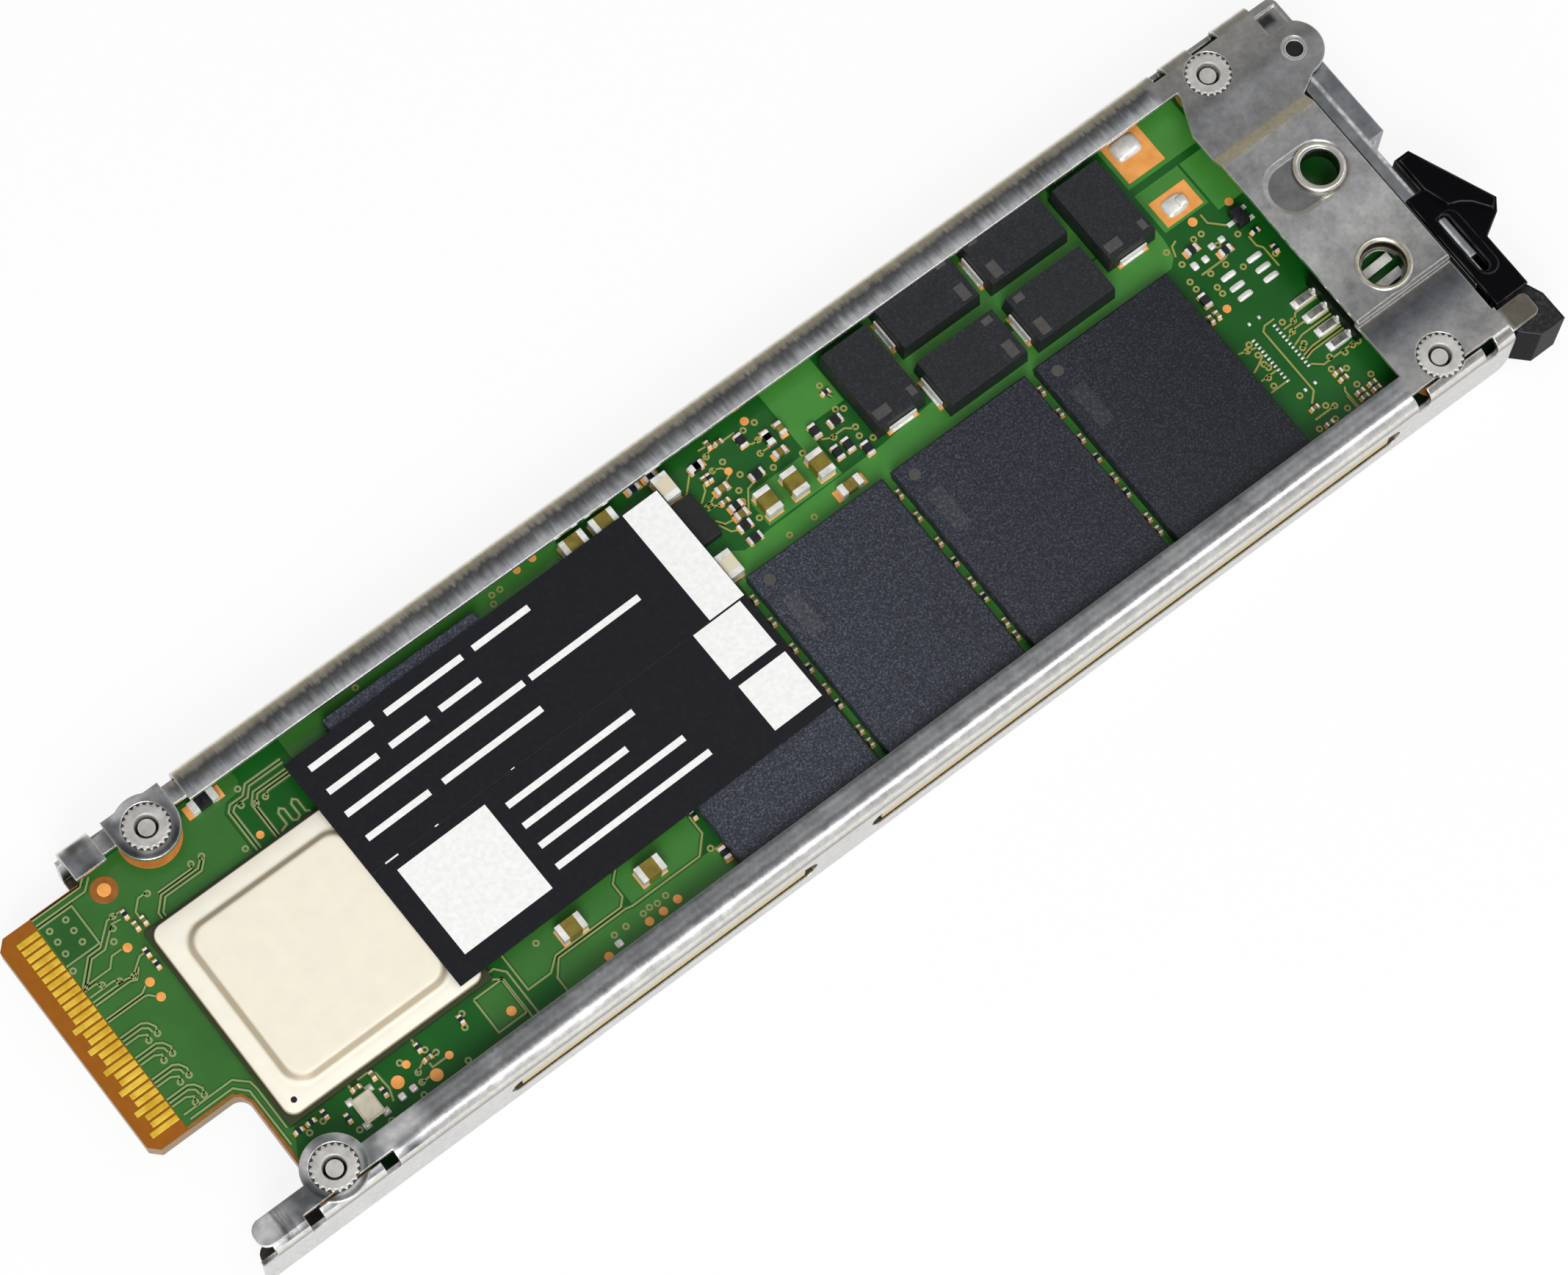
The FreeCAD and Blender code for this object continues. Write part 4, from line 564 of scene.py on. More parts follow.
class Relief:
    """Small raised forms collected into one mesh."""

    def __init__(self):
        self.bm = bmesh.new()

    def loop(self, plan, level):
        return [self.bm.verts.new(row(x, y, level)) for x, y in plan]

    def skin(self, loops, closed=False, capped=False):
        """Bands of faces between loops of equal length, closed round or capped."""
        pairs = list(zip(loops, loops[1:]))
        if closed:
            pairs.append((loops[-1], loops[0]))
        for lower, upper in pairs:
            for step in range(len(lower)):
                after = (step + 1) % len(lower)
                self.bm.faces.new((lower[step], lower[after], upper[after], upper[step]))
        if capped:
            self.bm.faces.new(loops[-1])
            self.bm.faces.new(reversed(loops[0]))

    def prism(self, plan, low, high, ease=0):
        """A flat form from its outline, its top drawn in by a share of its size."""
        mid_x = sum(x for x, _ in plan) / len(plan)
        mid_y = sum(y for _, y in plan) / len(plan)
        top = [(x + (mid_x - x) * ease, y + (mid_y - y) * ease) for x, y in plan]
        self.skin([self.loop(plan, low), self.loop(top, high)], capped=True)

    def box(self, x, y, length, width, low, high, ease=0):
        """A block round a middle point."""
        self.prism(corners(x - length / 2, y - width / 2, x + length / 2, y + width / 2), low, high, ease)

    def chip(self, x, y, turned, reach, length, width, low, high, ease=0):
        """A block at a reach along a chip part, turned across the board with it."""
        if turned:
            self.box(x, y + reach, width, length, low, high, ease)
        else:
            self.box(x + reach, y, length, width, low, high, ease)

    def circle(self, x, y, radius, sides):
        turns = [2 * math.pi * step / sides for step in range(sides)]
        return [(x + radius * math.cos(a), y + radius * math.sin(a)) for a in turns]

    def disc(self, x, y, radius, low, high, sides=24):
        """A round pad."""
        self.prism(self.circle(x, y, radius, sides), low, high)

    def ring(self, x, y, inner, outer, low, high, sides=24, limit=None):
        """A flat washer, cut off straight where it would pass the board's edges."""
        loops = []
        for radius, level in ((inner, low), (inner, high), (outer, high), (outer, low)):
            plan = self.circle(x, y, radius, sides)
            if limit:
                plan = [(px, min(max(py, limit[0]), limit[1])) for px, py in plan]
            loops.append(self.loop(plan, level))
        self.skin(loops, closed=True)

    def ribbon(self, line, width, low, high):
        """A track of even width along a line of points."""
        spots = [Vector(p) for p in line]
        left, right = [], []
        for index, here in enumerate(spots):
            into = here - spots[index - 1] if index else spots[1] - here
            out = spots[index + 1] - here if index < len(spots) - 1 else into
            into, out = into.normalized(), out.normalized()
            across_in, across_out = Vector((-into.y, into.x)), Vector((-out.y, out.x))
            mitre = (across_in + across_out).normalized()
            reach = width / 2 / max(mitre.dot(across_out), MITRE_LIMIT)
            left.append(here + mitre * reach)
            right.append(here - mitre * reach)
        for index in range(len(spots) - 1):
            plan = (right[index], right[index + 1], left[index + 1], left[index])
            self.prism([tuple(p) for p in plan], low, high)

    def dome(self, x, y, length, width, low, high, square=1, sides=24, rings=4):
        """A low mound, as of solder; a square power under 1 fills out its corners."""
        loops = []
        for ring in range(rings):
            a = math.pi / 2 * ring / rings
            plan = []
            for px, py in self.circle(0, 0, 1, sides):
                px, py = (math.copysign(abs(p) ** square, p) * math.cos(a) ** square for p in (px, py))
                plan.append((x + px * length / 2, y + py * width / 2))
            loops.append(self.loop(plan, low + (high - low) * math.sin(a)))
        self.skin(loops, capped=True)

    def turned(self, x, y, profile, sides=48):
        """A closed form turned round an upright line: radius and level of each corner."""
        loops = [self.loop(self.circle(x, y, radius, sides), level) for radius, level in profile]
        self.skin(loops, closed=True)

    def arc(self, x, y, radius, start, turn, steps):
        """Points round part of a circle, both ends included."""
        angles = [start + turn * step / steps for step in range(steps + 1)]
        return [(x + radius * math.cos(a), y + radius * math.sin(a)) for a in angles]

    def rounded(self, x, y, half, radius, steps=8):
        """The plan of a square with round corners."""
        plan = []
        reach = half - radius
        for quarter in range(4):
            cx = reach if quarter in (0, 3) else -reach
            cy = reach if quarter in (0, 1) else -reach
            plan += self.arc(x + cx, y + cy, radius, math.pi / 2 * quarter, math.pi / 2, steps)
        return plan

    def stadium(self, x, low, high, half, steps=10):
        """The plan of a slot with round ends, across the board from low to high."""
        ends = self.arc(x, high - half, half, 0, math.pi, steps)
        return ends + self.arc(x, low + half, half, math.pi, math.pi, steps)

    def piece(self, name, material, slot, smooth=False, body="carrier"):
        """The finished object, riding on its body."""
        mesh = bpy.data.meshes.new(name)
        bmesh.ops.recalc_face_normals(self.bm, faces=self.bm.faces)
        for face in self.bm.faces:
            face.smooth = smooth
        self.bm.to_mesh(mesh)
        self.bm.free()
        mesh.materials.append(material)
        obj = placed(name, mesh)
        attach(obj, body)
        return obj


class Network:
    """Shader nodes under construction; most methods return the socket with their result."""

    def __init__(self, tree, places):
        self.nodes, self.links = tree.nodes, tree.links
        self.place = self.add("TexCoord").outputs[places]

    def add(self, kind, *inputs, operation=None, **named):
        """A node with inputs set or linked in order or by name."""
        node = self.nodes.new("ShaderNode" + kind)
        if operation:
            node.operation = operation
        for socket, value in zip(node.inputs, inputs):
            self.feed(socket, value)
        for name, value in named.items():
            self.feed(node.inputs[name.replace("_", " ")], value)
        return node

    def feed(self, socket, value):
        """Link another socket to this one, or set a number, vector or colour on it."""
        if isinstance(value, bpy.types.NodeSocket):
            self.links.new(value, socket)
        else:
            socket.default_value = (*value, 1) if socket.type == "RGBA" else value

    def stretched(self, along, across, up):
        """Places scaled differently along each axis, for a drawn-out grain."""
        return self.add("Mapping", Vector=self.place, Scale=(along, across, up)).outputs["Vector"]

    def noise(self, scale, detail=3, rough=0.5, vector=None):
        """Soft noise; scale is in features per metre."""
        node = self.add("TexNoise", Vector=vector or self.place, Scale=scale, Detail=detail, Roughness=rough)
        return node.outputs["Fac"]

    def ramp(self, value, *stops):
        """Map a value to colours or greys at given positions."""
        node = self.add("ValToRGB", Fac=value)
        elements = node.color_ramp.elements
        while len(elements) < len(stops):
            elements.new(1)
        for element, (position, colour) in zip(elements, stops):
            element.position = position
            element.color = (*colour, 1) if isinstance(colour, tuple) else (colour, colour, colour, 1)
        return node.outputs["Color"]

    def mix(self, share, first, second, blend="MIX"):
        """Blend two colours by a share."""
        node = self.add("Mix")
        node.data_type = "RGBA"
        node.blend_type = blend
        for index, value in ((0, share), (6, first), (7, second)):
            self.feed(node.inputs[index], value)
        return node.outputs[2]

    def times(self, first, second):
        """One colour darkened by another."""
        return self.mix(1, first, second, "MULTIPLY")

    def math(self, operation, first, second=0):
        """Arithmetic on two values."""
        return self.add("Math", first, second, operation=operation).outputs["Value"]

    def both(self, first, second):
        """The product of two shares."""
        return self.math("MULTIPLY", first, second)

    def axis(self, name):
        """The place along one axis."""
        return self.add("SeparateXYZ", Vector=self.place).outputs[name]

    def share(self, axis, start, end):
        """A share that runs from 0 to 1 between two places on one axis."""
        return self.add("MapRange", Value=self.axis(axis), From_Min=start, From_Max=end).outputs["Result"]


class Finish(Network):
    """A procedural material under construction."""

    def __init__(self, name, roughness, metallic=0, specular=0.5):
        self.material = bpy.data.materials.new(name)
        self.material.use_nodes = True
        super().__init__(self.material.node_tree, "Object")
        self.shader = self.nodes["Principled BSDF"]
        settings = {"Roughness": roughness, "Metallic": metallic, "Specular IOR Level": specular}
        for setting, value in settings.items():
            self.feed(self.shader.inputs[setting], value)

    def along(self, start, end):
        """A share between two places along X, in millimetres from the card edge."""
        return self.share("X", CARD_EDGE + start * MM, CARD_EDGE + end * MM)

    def within(self, start, end, soft):
        """1 between two places along X and 0 outside them, over soft ends."""
        after = self.math("SUBTRACT", 1, self.along(end - soft, end))
        return self.both(self.along(start, start + soft), after)

    def across(self):
        """A share that runs from the frame's low side to its high side."""
        low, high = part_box("carrier_frame")
        return self.share("Y", low[1], high[1])

    def sideways(self, start, end):
        """A share between two places along Y, in millimetres from the first contact."""
        return self.share("Y", row(0, start).y, row(0, end).y)

    def level(self, start, end):
        """A share between two heights above the board, in millimetres."""
        return self.share("Z", BOARD_TOP + start * MM, BOARD_TOP + end * MM)

    def away(self, x, y, reach):
        """Distance in plan from a place on the board, as a share of a reach in millimetres."""
        centre = row(x, y, -BOARD_TOP / MM)
        gap = self.add("VectorMath", self.stretched(1, 1, 0), centre, operation="DISTANCE")
        return self.math("DIVIDE", gap.outputs["Value"], reach * MM)

    def rise(self, direction="True Normal"):
        """How far the surface looks up: 1, 0 on sides, -1 looking down."""
        normal = self.add("NewGeometry").outputs[direction]
        return self.add("SeparateXYZ", Vector=normal).outputs["Z"]

    def tilt(self):
        """1 on level faces of the smoothed surface and less on slopes."""
        return self.math("ABSOLUTE", self.rise("Normal"))

    def face_up(self):
        """1 on faces that look up and 0 on all others."""
        return self.math("GREATER_THAN", self.rise(), LEVEL_FACE)

    def upright(self):
        """1 on faces that look up or down and 0 on sides."""
        return self.math("GREATER_THAN", self.math("ABSOLUTE", self.rise()), LEVEL_FACE)

    def softened(self, radius):
        """The surface's direction with its edges rounded by a radius in millimetres."""
        bevel = self.add("Bevel", Radius=radius * MM)
        bevel.samples = BEVEL_SAMPLES
        return bevel.outputs["Normal"]

    def edges(self, radius):
        """1 along edges and 0 on open faces, by the lean of a rounded edge."""
        normal = self.add("NewGeometry").outputs["Normal"]
        lean = self.add("VectorMath", self.softened(radius), normal, operation="DOT_PRODUCT")
        return self.ramp(lean.outputs["Value"], *EDGE_LEAN)

    def paint(self, colour, roughness=None):
        """Give the shader its colour, and its roughness where that varies."""
        self.feed(self.shader.inputs["Base Color"], colour)
        if roughness:
            self.feed(self.shader.inputs["Roughness"], roughness)

    def relief(self, height, depth, strength=0.6, edge=0):
        """Bump of a depth in millimetres, over edges rounded by a radius."""
        bump = self.add("Bump", Strength=strength, Distance=depth * MM, Height=height)
        if edge:
            self.feed(bump.inputs["Normal"], self.softened(edge))
        self.feed(self.shader.inputs["Normal"], bump.outputs["Normal"])


def sheet_steel():
    """Rolled sheet, its colour painted with reflections and shade: streaked lips, a duller bridge with a
    bright panel, pale walls, painted highlights along its edges.
    """
    f = Finish("sheet_steel", 0.3, metallic=1)
    streak = f.noise(1, 4, 0.65, f.stretched(*STREAK_GRAIN))
    grain = f.noise(2600, 3, 0.6)
    cloud = f.noise(420, 5, 0.65)
    wander = f.both(f.math("SUBTRACT", streak, 0.5), f.ramp(f.across(), *LIP_RAGGED))
    ends = f.ramp(f.noise(330, 2), *END_REFLECTIONS)
    for low, high in islands("clinch_nuts")[:COIN_NUTS]:
        x, y = middle(low, high)
        # Painted shade and highlight round each card-end nut, on its low side
        coined = f.ramp(f.away(x, y, COIN_REACH), *COIN_SHADE)
        ends = f.times(ends, f.mix(f.sideways(y + COIN_TURN, y - COIN_TURN), WHITE, coined))
    # Painted shade along the bend across the tongue
    tongue = f.both(f.within(*TONGUE_BEND, TONGUE_SOFT), f.ramp(f.across(), *TONGUE_SIDE))
    ends = f.mix(tongue, ends, f.times(ends, f.ramp(streak, *BEND_SHADE)))
    lips = f.ramp(f.math("ADD", f.across(), wander), *LIP_REFLECTIONS)
    lips = f.mix(f.along(*CARD_END), ends, lips)
    dish_floor_shade = f.ramp(f.level(LIP_LEVEL, PANEL_LEVEL), *DISH_SHADE)
    dish = f.mix(f.ramp(f.tilt(), *DISH_TILT), WHITE, dish_floor_shade)
    bridge = f.times(f.ramp(f.across(), *BRIDGE_REFLECTIONS), dish)
    on_bridge = f.along(*(BRIDGE_END - BRIDGE_DEPTH + step for step in BRIDGE_FADE))
    on_tab = f.along(*(BRIDGE_END + step for step in TAB_FADE))
    on_tab = f.both(on_tab, f.ramp(f.across(), *TAB_SIDE))
    flat = f.mix(on_tab, f.mix(on_bridge, lips, bridge), FRONT_TAB_REFLECTION)
    hollow = f.both(f.within(*HOLLOW_ALONG, HOLLOW_SOFT), f.ramp(f.across(), *HOLLOW_ACROSS))
    flat = f.mix(hollow, flat, HOLLOW_SHADE)
    inside = f.both(f.face_up(), f.ramp(f.level(*INSIDE_LEVELS), (0, 1), (1, 0)))
    flat = f.mix(inside, flat, INSIDE_SHADE)
    wall = f.ramp(f.level(LIP_LEVEL - WALL_BAND, LIP_LEVEL), *WALL_REFLECTIONS)
    tint = f.mix(f.upright(), wall, flat)
    worn = f.ramp(f.math("ADD", f.both(grain, 0.5), f.both(cloud, 0.5)), *SHEET_WORN)
    edge_highlight = f.both(f.edges(EDGE_HIGHLIGHT_RADIUS), EDGE_HIGHLIGHT_SHARE)
    f.paint(f.mix(edge_highlight, f.times(tint, worn), EDGE_HIGHLIGHT_TINT), f.ramp(cloud, *SHEET_ROUGHNESS))
    f.relief(grain, 0.004, 0.4, SHEET_EDGE)
    return f.material


def formed_nickel():
    """The stamped lid: pale satin plating, with painted brown shade where the surface slopes."""
    f = Finish("satin_nickel", 0.5, metallic=0.15)
    pale = f.mix(f.level(*LID_LEVELS), (0.87, 0.835, 0.715), (0.835, 0.785, 0.65))
    slope_shaded = f.mix(f.ramp(f.tilt(), *LID_SLOPE), (0.4, 0.34, 0.24), pale)
    f.paint(f.times(slope_shaded, f.ramp(f.noise(700, 3, 0.55), (0.3, 0.95), (0.7, 1))))
    f.relief(f.noise(3500, 2), 0.003, 0.3)
    return f.material


def rolled_rim():
    """The bright rolled edge of a formed hole, with painted shade, brownish and dark, inside it."""
    f = Finish("rolled_rim", 0.28, metallic=1)
    cloud = f.noise(1600, 3, 0.6)
    f.paint(f.times(f.ramp(f.level(*RIM_LEVELS), *RIM_SHADE_TINTS), f.ramp(cloud, (0.35, 0.75), (0.65, 1))))
    f.relief(cloud, 0.006, 0.5)
    return f.material


def green_board():
    """Solder mask over laminate, with bare laminate at the card edge and on the cut sides."""
    f = Finish("board_green", 0.3, specular=0.3)
    weave = f.noise(1500)
    mask = f.mix(f.ramp(f.noise(160, 2), *FADE), (0.004, 0.074, 0.006), (0.009, 0.098, 0.012))
    # Painted shade on the board's mask under the low lip
    mask = f.times(mask, f.ramp(f.both(f.face_up(), f.sideways(*LIP_COVER)), (0, 1), (1, 0.2)))
    bare = f.mix(weave, (0.23, 0.07, 0.003), (0.31, 0.1, 0.005))
    side = f.mix(f.along(*SIDE_CHANGE), (0.2, 0.1, 0.02), (0.5, 0.4, 0.2))
    masked = f.along(MASK_START - MASK_SOFT, MASK_START + MASK_SOFT)
    f.paint(f.mix(f.upright(), side, f.mix(masked, bare, mask)))
    f.relief(weave, 0.004, 0.25)
    return f.material


def mask_over_copper(name, near, far, roughness=0.28):
    """Solder mask over copper: one green near the card edge, a yellower one towards the handle."""
    f = Finish(name, roughness, specular=0.4)
    base = f.mix(f.along(*GREEN_CHANGE), near, far)
    f.paint(f.times(base, f.ramp(f.noise(300, 4), (0.3, 0.82), (0.7, 1))))
    f.relief(f.noise(1800, 2), 0.004, 0.3)
    return f.material


def moulded(name, dark, pale, grain, depth, roughness, edge=0.05, specular=0.4, far=1, highlight=None):
    """Moulded resin: fine filler in a dark ground, with painted sheen that fades towards the handle by a
    share, and patchy painted highlights on its edges where given.
    """
    f = Finish(name, roughness, specular=specular)
    speck = f.noise(grain, 4, 0.75)
    shade = f.ramp(f.along(*PACKAGE_CHANGE), (0, 1), (1, far))
    body = f.times(f.mix(f.ramp(speck, *SPECKS), dark, pale), shade)
    if highlight:
        body = f.mix(f.both(f.edges(RESIN_HIGHLIGHT_RADIUS), f.ramp(f.noise(600), *RESIN_HIGHLIGHT_BREAKS)), body, highlight)
    f.paint(body, f.ramp(speck, (0.35, roughness - 0.06), (0.7, roughness + 0.08)))
    f.relief(speck, depth, edge=edge)
    return f.material


def plated(name, dark, pale, roughness, grain=900, metallic=1, edge=0.06, highlight=None):
    """Plated or tinned metal, or glazed ceramic, with a slightly uneven surface and, where given, painted
    highlights along its edges.
    """
    f = Finish(name, roughness, metallic)
    cloud = f.noise(grain, 4, 0.6)
    body = f.mix(f.ramp(cloud, *FADE), dark, pale)
    if highlight:
        body = f.mix(f.edges(PLATE_HIGHLIGHT_RADIUS), body, highlight)
    f.paint(body, f.ramp(cloud, (0.3, roughness - 0.05), (0.7, roughness + 0.08)))
    f.relief(cloud, 0.006, edge=edge)
    return f.material


def handle_steel():
    """The handle: bluish satin sheet with a painted highlight along its top bend and painted highlights on
    its edges.
    """
    f = Finish("handle_steel", 0.32, metallic=1)
    cloud = f.noise(700, 4, 0.6)
    body = f.mix(f.ramp(cloud, *FADE), (0.22, 0.235, 0.25), (0.31, 0.325, 0.34))
    top = f.both(f.within(*BEND_ALONG, BEND_SOFT), f.level(*BEND_LEVELS))
    bend = f.both(top, f.ramp(f.noise(1800, 2), *BEND_BREAKS))
    body = f.mix(f.edges(PLATE_HIGHLIGHT_RADIUS), f.mix(bend, body, (0.95, 0.96, 0.96)), (0.9, 0.9, 0.9))
    f.paint(body, f.ramp(cloud, (0.3, 0.27), (0.7, 0.4)))
    f.relief(cloud, 0.006, edge=0.16)
    return f.material


def mixed_ceramic():
    """Chip capacitors: brown ones, and two cream ones beside the sticker."""
    f = Finish("mixed_ceramic", 0.4)
    cloud = f.ramp(f.noise(1500, 4, 0.6), *FADE)
    brown = f.mix(cloud, *BROWN_CERAMIC)
    f.paint(f.mix(f.within(*CREAM, CREAM_SOFT), brown, (0.62, 0.57, 0.42)))
    f.relief(cloud, 0.006, edge=0.06)
    return f.material


STEEL = sheet_steel()
HANDLE_STEEL = handle_steel()
RIM = rolled_rim()
# Nut plating and pin steel carry painted highlights along their edges
FASTENER = plated(
    "dull_plating", (0.48, 0.47, 0.445), (0.63, 0.62, 0.59), 0.5, metallic=0.7, highlight=(0.75, 0.74, 0.71),
)
PIN_STEEL = plated(
    "pin_steel", (0.36, 0.36, 0.355), (0.48, 0.48, 0.47), 0.4, metallic=0.9, highlight=(0.9, 0.9, 0.88),
)
FOOT_SHADE_METAL = plated("unlit_lip", (0.014, 0.011, 0.008), (0.05, 0.042, 0.03), 0.5, metallic=0.4)
SHADOWED = plated("unlit_metal", (0.008, 0.008, 0.0075), (0.016, 0.0155, 0.014), 0.6, metallic=0.5)
SEAT_SHADOW = plated("seat_shadow_metal", (0.07, 0.068, 0.062), (0.13, 0.127, 0.118), 0.6, metallic=0.5)
BOARD = green_board()
COPPER_MASK = mask_over_copper("mask_over_copper", (0.034, 0.138, 0.022), (0.054, 0.236, 0.034))
CLEAR_MASK = mask_over_copper("mask_over_laminate", (0.019, 0.1, 0.015), (0.008, 0.092, 0.01))
# Tracks: paler as copper under the mask, and brighter still with painted highlights of their raised edges
TRACK_MASK_AND_HIGHLIGHT = mask_over_copper("mask_over_track", (0.27, 0.31, 0.13), (0.34, 0.32, 0.09), 0.22)
GOLD = plated("gold_plating", (0.8, 0.5, 0.03), (0.96, 0.68, 0.075), 0.36, metallic=0.6)
BARE_COPPER = plated("bare_copper", (0.78, 0.31, 0.065), (0.9, 0.4, 0.1), 0.45, metallic=0.2)
LAND_COPPER_IN_SHADE = plated("land_copper_shaded", (0.48, 0.16, 0.025), (0.6, 0.22, 0.04), 0.45, metallic=0.2)
BARE_LAMINATE = plated("bare_laminate", (0.22, 0.07, 0.003), (0.3, 0.1, 0.005), 0.5, 1500, metallic=0)
SUBSTRATE = mask_over_copper("package_laminate", (0.03, 0.04, 0.012), (0.05, 0.06, 0.02), 0.45)
NICKEL = formed_nickel()
LEAD_METAL = plated("lead_metal", (0.13, 0.13, 0.115), (0.3, 0.29, 0.26), 0.35, 2200, metallic=0.5)
CLOCK_METAL = plated("clock_metal", (0.62, 0.56, 0.42), (0.74, 0.69, 0.55), 0.36, metallic=0.5)
MOULD = moulded(
    "moulded_package", (0.0125, 0.0138, 0.021), (0.108, 0.12, 0.155), 6400, 0.014, 0.46, specular=0.26,
    far=0.36,
)
SMALL_MOULD = moulded(
    "moulded_small_package", (0.006, 0.0062, 0.007), (0.016, 0.0165, 0.018), 6000, 0.006, 0.45,
)
TANTALUM = moulded(
    "moulded_capacitor", (0.008, 0.0086, 0.0108), (0.026, 0.028, 0.034), 5200, 0.012, 0.46, specular=0.34,
)
BAR_GREY = moulded("marking_bar", (0.05, 0.047, 0.044), (0.085, 0.08, 0.075), 6000, 0.004, 0.5)
FAINT_MARK = moulded("faint_mark", (0.022, 0.024, 0.03), (0.11, 0.118, 0.14), 5000, 0.008, 0.5, far=0.45)
TIN = plated("bright_tin", (0.66, 0.645, 0.6), (0.92, 0.91, 0.88), 0.3, metallic=0.35)
CERAMIC = plated("capacitor_ceramic", *BROWN_CERAMIC, 0.4, 1500, metallic=0)
MIXED_CERAMIC = mixed_ceramic()
RESISTOR = moulded("resistor_glaze", (0.006, 0.006, 0.007), (0.02, 0.02, 0.024), 4000, 0.004, 0.35)
# The latch: near-black resin with painted highlights along its edges
LATCH = moulded(
    "latch_plastic", (0.0012, 0.0012, 0.0018), (0.0022, 0.0022, 0.003), 5200, 0.008, 0.42, 0.2, 0.045,
    highlight=(0.12, 0.12, 0.128),
)
TONGUE_SHEEN = moulded("tongue_sheen_resin", (0.012, 0.0122, 0.013), (0.05, 0.051, 0.054), 3200, 0.01, 0.5, 0.1, 0.12)
# The contact housing, dark green as painted shadow under the bridge's edge
HOUSING_SHADE = moulded("housing_shadow_resin", (0.002, 0.006, 0.003), (0.005, 0.012, 0.006), 5200, 0.006, 0.5, 0.1, 0.1)
LABEL = moulded("label_black", (0.0062, 0.0065, 0.009), (0.0095, 0.01, 0.0128), 3000, 0.003, 0.5, 0.02, 0.2)
PRINT_WHITE = plated(
    "label_print", (0.74, 0.74, 0.73), (0.82, 0.82, 0.81), 0.55, 2500, metallic=0, edge=0.01,
)

NODE_FINISH = {
    "carrier_frame": STEEL, "drive_handle": HANDLE_STEEL, "clinch_nuts": FASTENER, "board_screws": FASTENER,
    "handle_pin": PIN_STEEL, "circuit_board": BOARD, "edge_contacts": GOLD,
    "controller_substrate": SUBSTRATE, "controller_lid": NICKEL, "clock_can": CLOCK_METAL,
    "working_memory": MOULD, "power_chip": SMALL_MOULD, "tantalum_terminals": TIN, "ceramic_terminals": TIN,
    "resistor_terminals": TIN, "contact_springs": TIN, "ceramic_capacitors": MIXED_CERAMIC,
    "chip_resistors": RESISTOR, "contact_housing": HOUSING_SHADE, "release_latch": LATCH, "label_lower": LABEL,
    "label_upper": LABEL,
}


def dress_nodes():
    """Give every CAD node its finish."""
    for name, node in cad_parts.items():
        finish = MOULD if name.startswith("flash_") else NODE_FINISH.get(name, TANTALUM)
        node.data.materials.clear()
        node.data.materials.append(finish)


def add_board_artwork():
    """Copper areas, tracks and vias under the mask; the vias go through to the under face."""
    pours, clearings, tracks = Relief(), Relief(), Relief()
    for plan in [points(flat) for flat in POURS] + [corners(*field) for field in POUR_FIELDS]:
        pours.prism(plan, 0, POUR)
    for flat in CLEARINGS:
        clearings.prism(points(flat), 0, CLEARING)
    lines = [points(flat) for flat in TRACKS]
    holes = points(VIAS)
    for start in PAIR_STARTS:
        lines += [[(x, start + y) for x, y in points(flat)] for flat in PAIR_TURNS]
        holes += [(x, start + y) for x, y in PAIR_VIAS]
    for line in lines:
        tracks.ribbon(line, TRACE_WIDTH, 0, TRACE)
        clearings.ribbon(line, TRACE_CLEAR, 0, TRACE_BED)
    for x, y in holes:
        tracks.ring(x, y, *VIA_RING, 0, TRACE)
        tracks.ring(x, y, *VIA_RING, UNDER - TRACE, UNDER)
    pours.piece("copper_areas", COPPER_MASK, "solder_mask")
    clearings.piece("bare_areas", CLEAR_MASK, "solder_mask")
    tracks.piece("etched_tracks", TRACK_MASK_AND_HIGHLIGHT, "solder_mask")


def add_bare_metal():
    """Test points, lands, rings under the nuts in painted shade, solder and bare laminate."""
    copper, laminate, tin, lands, leads = Relief(), Relief(), Relief(), Relief(), Relief()
    for x, y, radius in TEST_POINTS:
        copper.disc(x, y, radius, 0, PAD)
        copper.disc(x, y, radius, UNDER - PAD, UNDER)
    laminate.disc(*TEST_POINTS[0][:2], FIDUCIAL_CLEAR, 0, TRACE)
    for land in LANDS:
        copper.box(*land, 0, PAD)
    low, high = board_box("circuit_board")
    edges = (low[1] + LAND_EDGE, high[1] - LAND_EDGE)
    for nut in islands("clinch_nuts"):
        lands.ring(*middle(*nut), *LAND_RING, 0, PAD, LAND_SIDES, edges)
    for flat in RIMS:
        laminate.ribbon(points(flat), RIM_WIDTH, 0, BARE_RIM)
    for pad in TIN_PADS:
        tin.dome(*pad, 0, TIN_HEIGHT, SQUARE)
    for x, start, count in FINE_COLUMNS:
        for step in range(count):
            tin.box(x, start - step * FINE_PITCH, *FINE_PAD, 0, PAD)
    for x, y, length, width, height in SOLDER:
        tin.dome(x, y, length, width, 0, height, SQUARE)
    for low, high in islands("contact_springs"):
        x, y = low[0], middle(low, high)[1]
        tin.dome(x + SPRING_FOOT[0], y, *SPRING_FOOT[1:], SQUARE)
        tin.dome(x + SPRING_TIP[0], y, *SPRING_TIP[1:])
        leads.box(x + SPRING_LEAD[0], y, *SPRING_LEAD[1:], LEAD_EASE)
    low, high = board_box("clock_can")
    for x in (low[0], high[0]):
        for y in (low[1], high[1]):
            tin.box(x, y, CLOCK_PAD, CLOCK_PAD, 0, PAD)
    copper.piece("bare_copper", BARE_COPPER, "gold")
    lands.piece("nut_lands", LAND_COPPER_IN_SHADE, "gold")
    leads.piece("spring_leads", LEAD_METAL, "tin")
    laminate.piece("bare_laminate", BARE_LAMINATE, "laminate")
    tin.piece("tinned_pads", TIN, "tin", smooth=True)


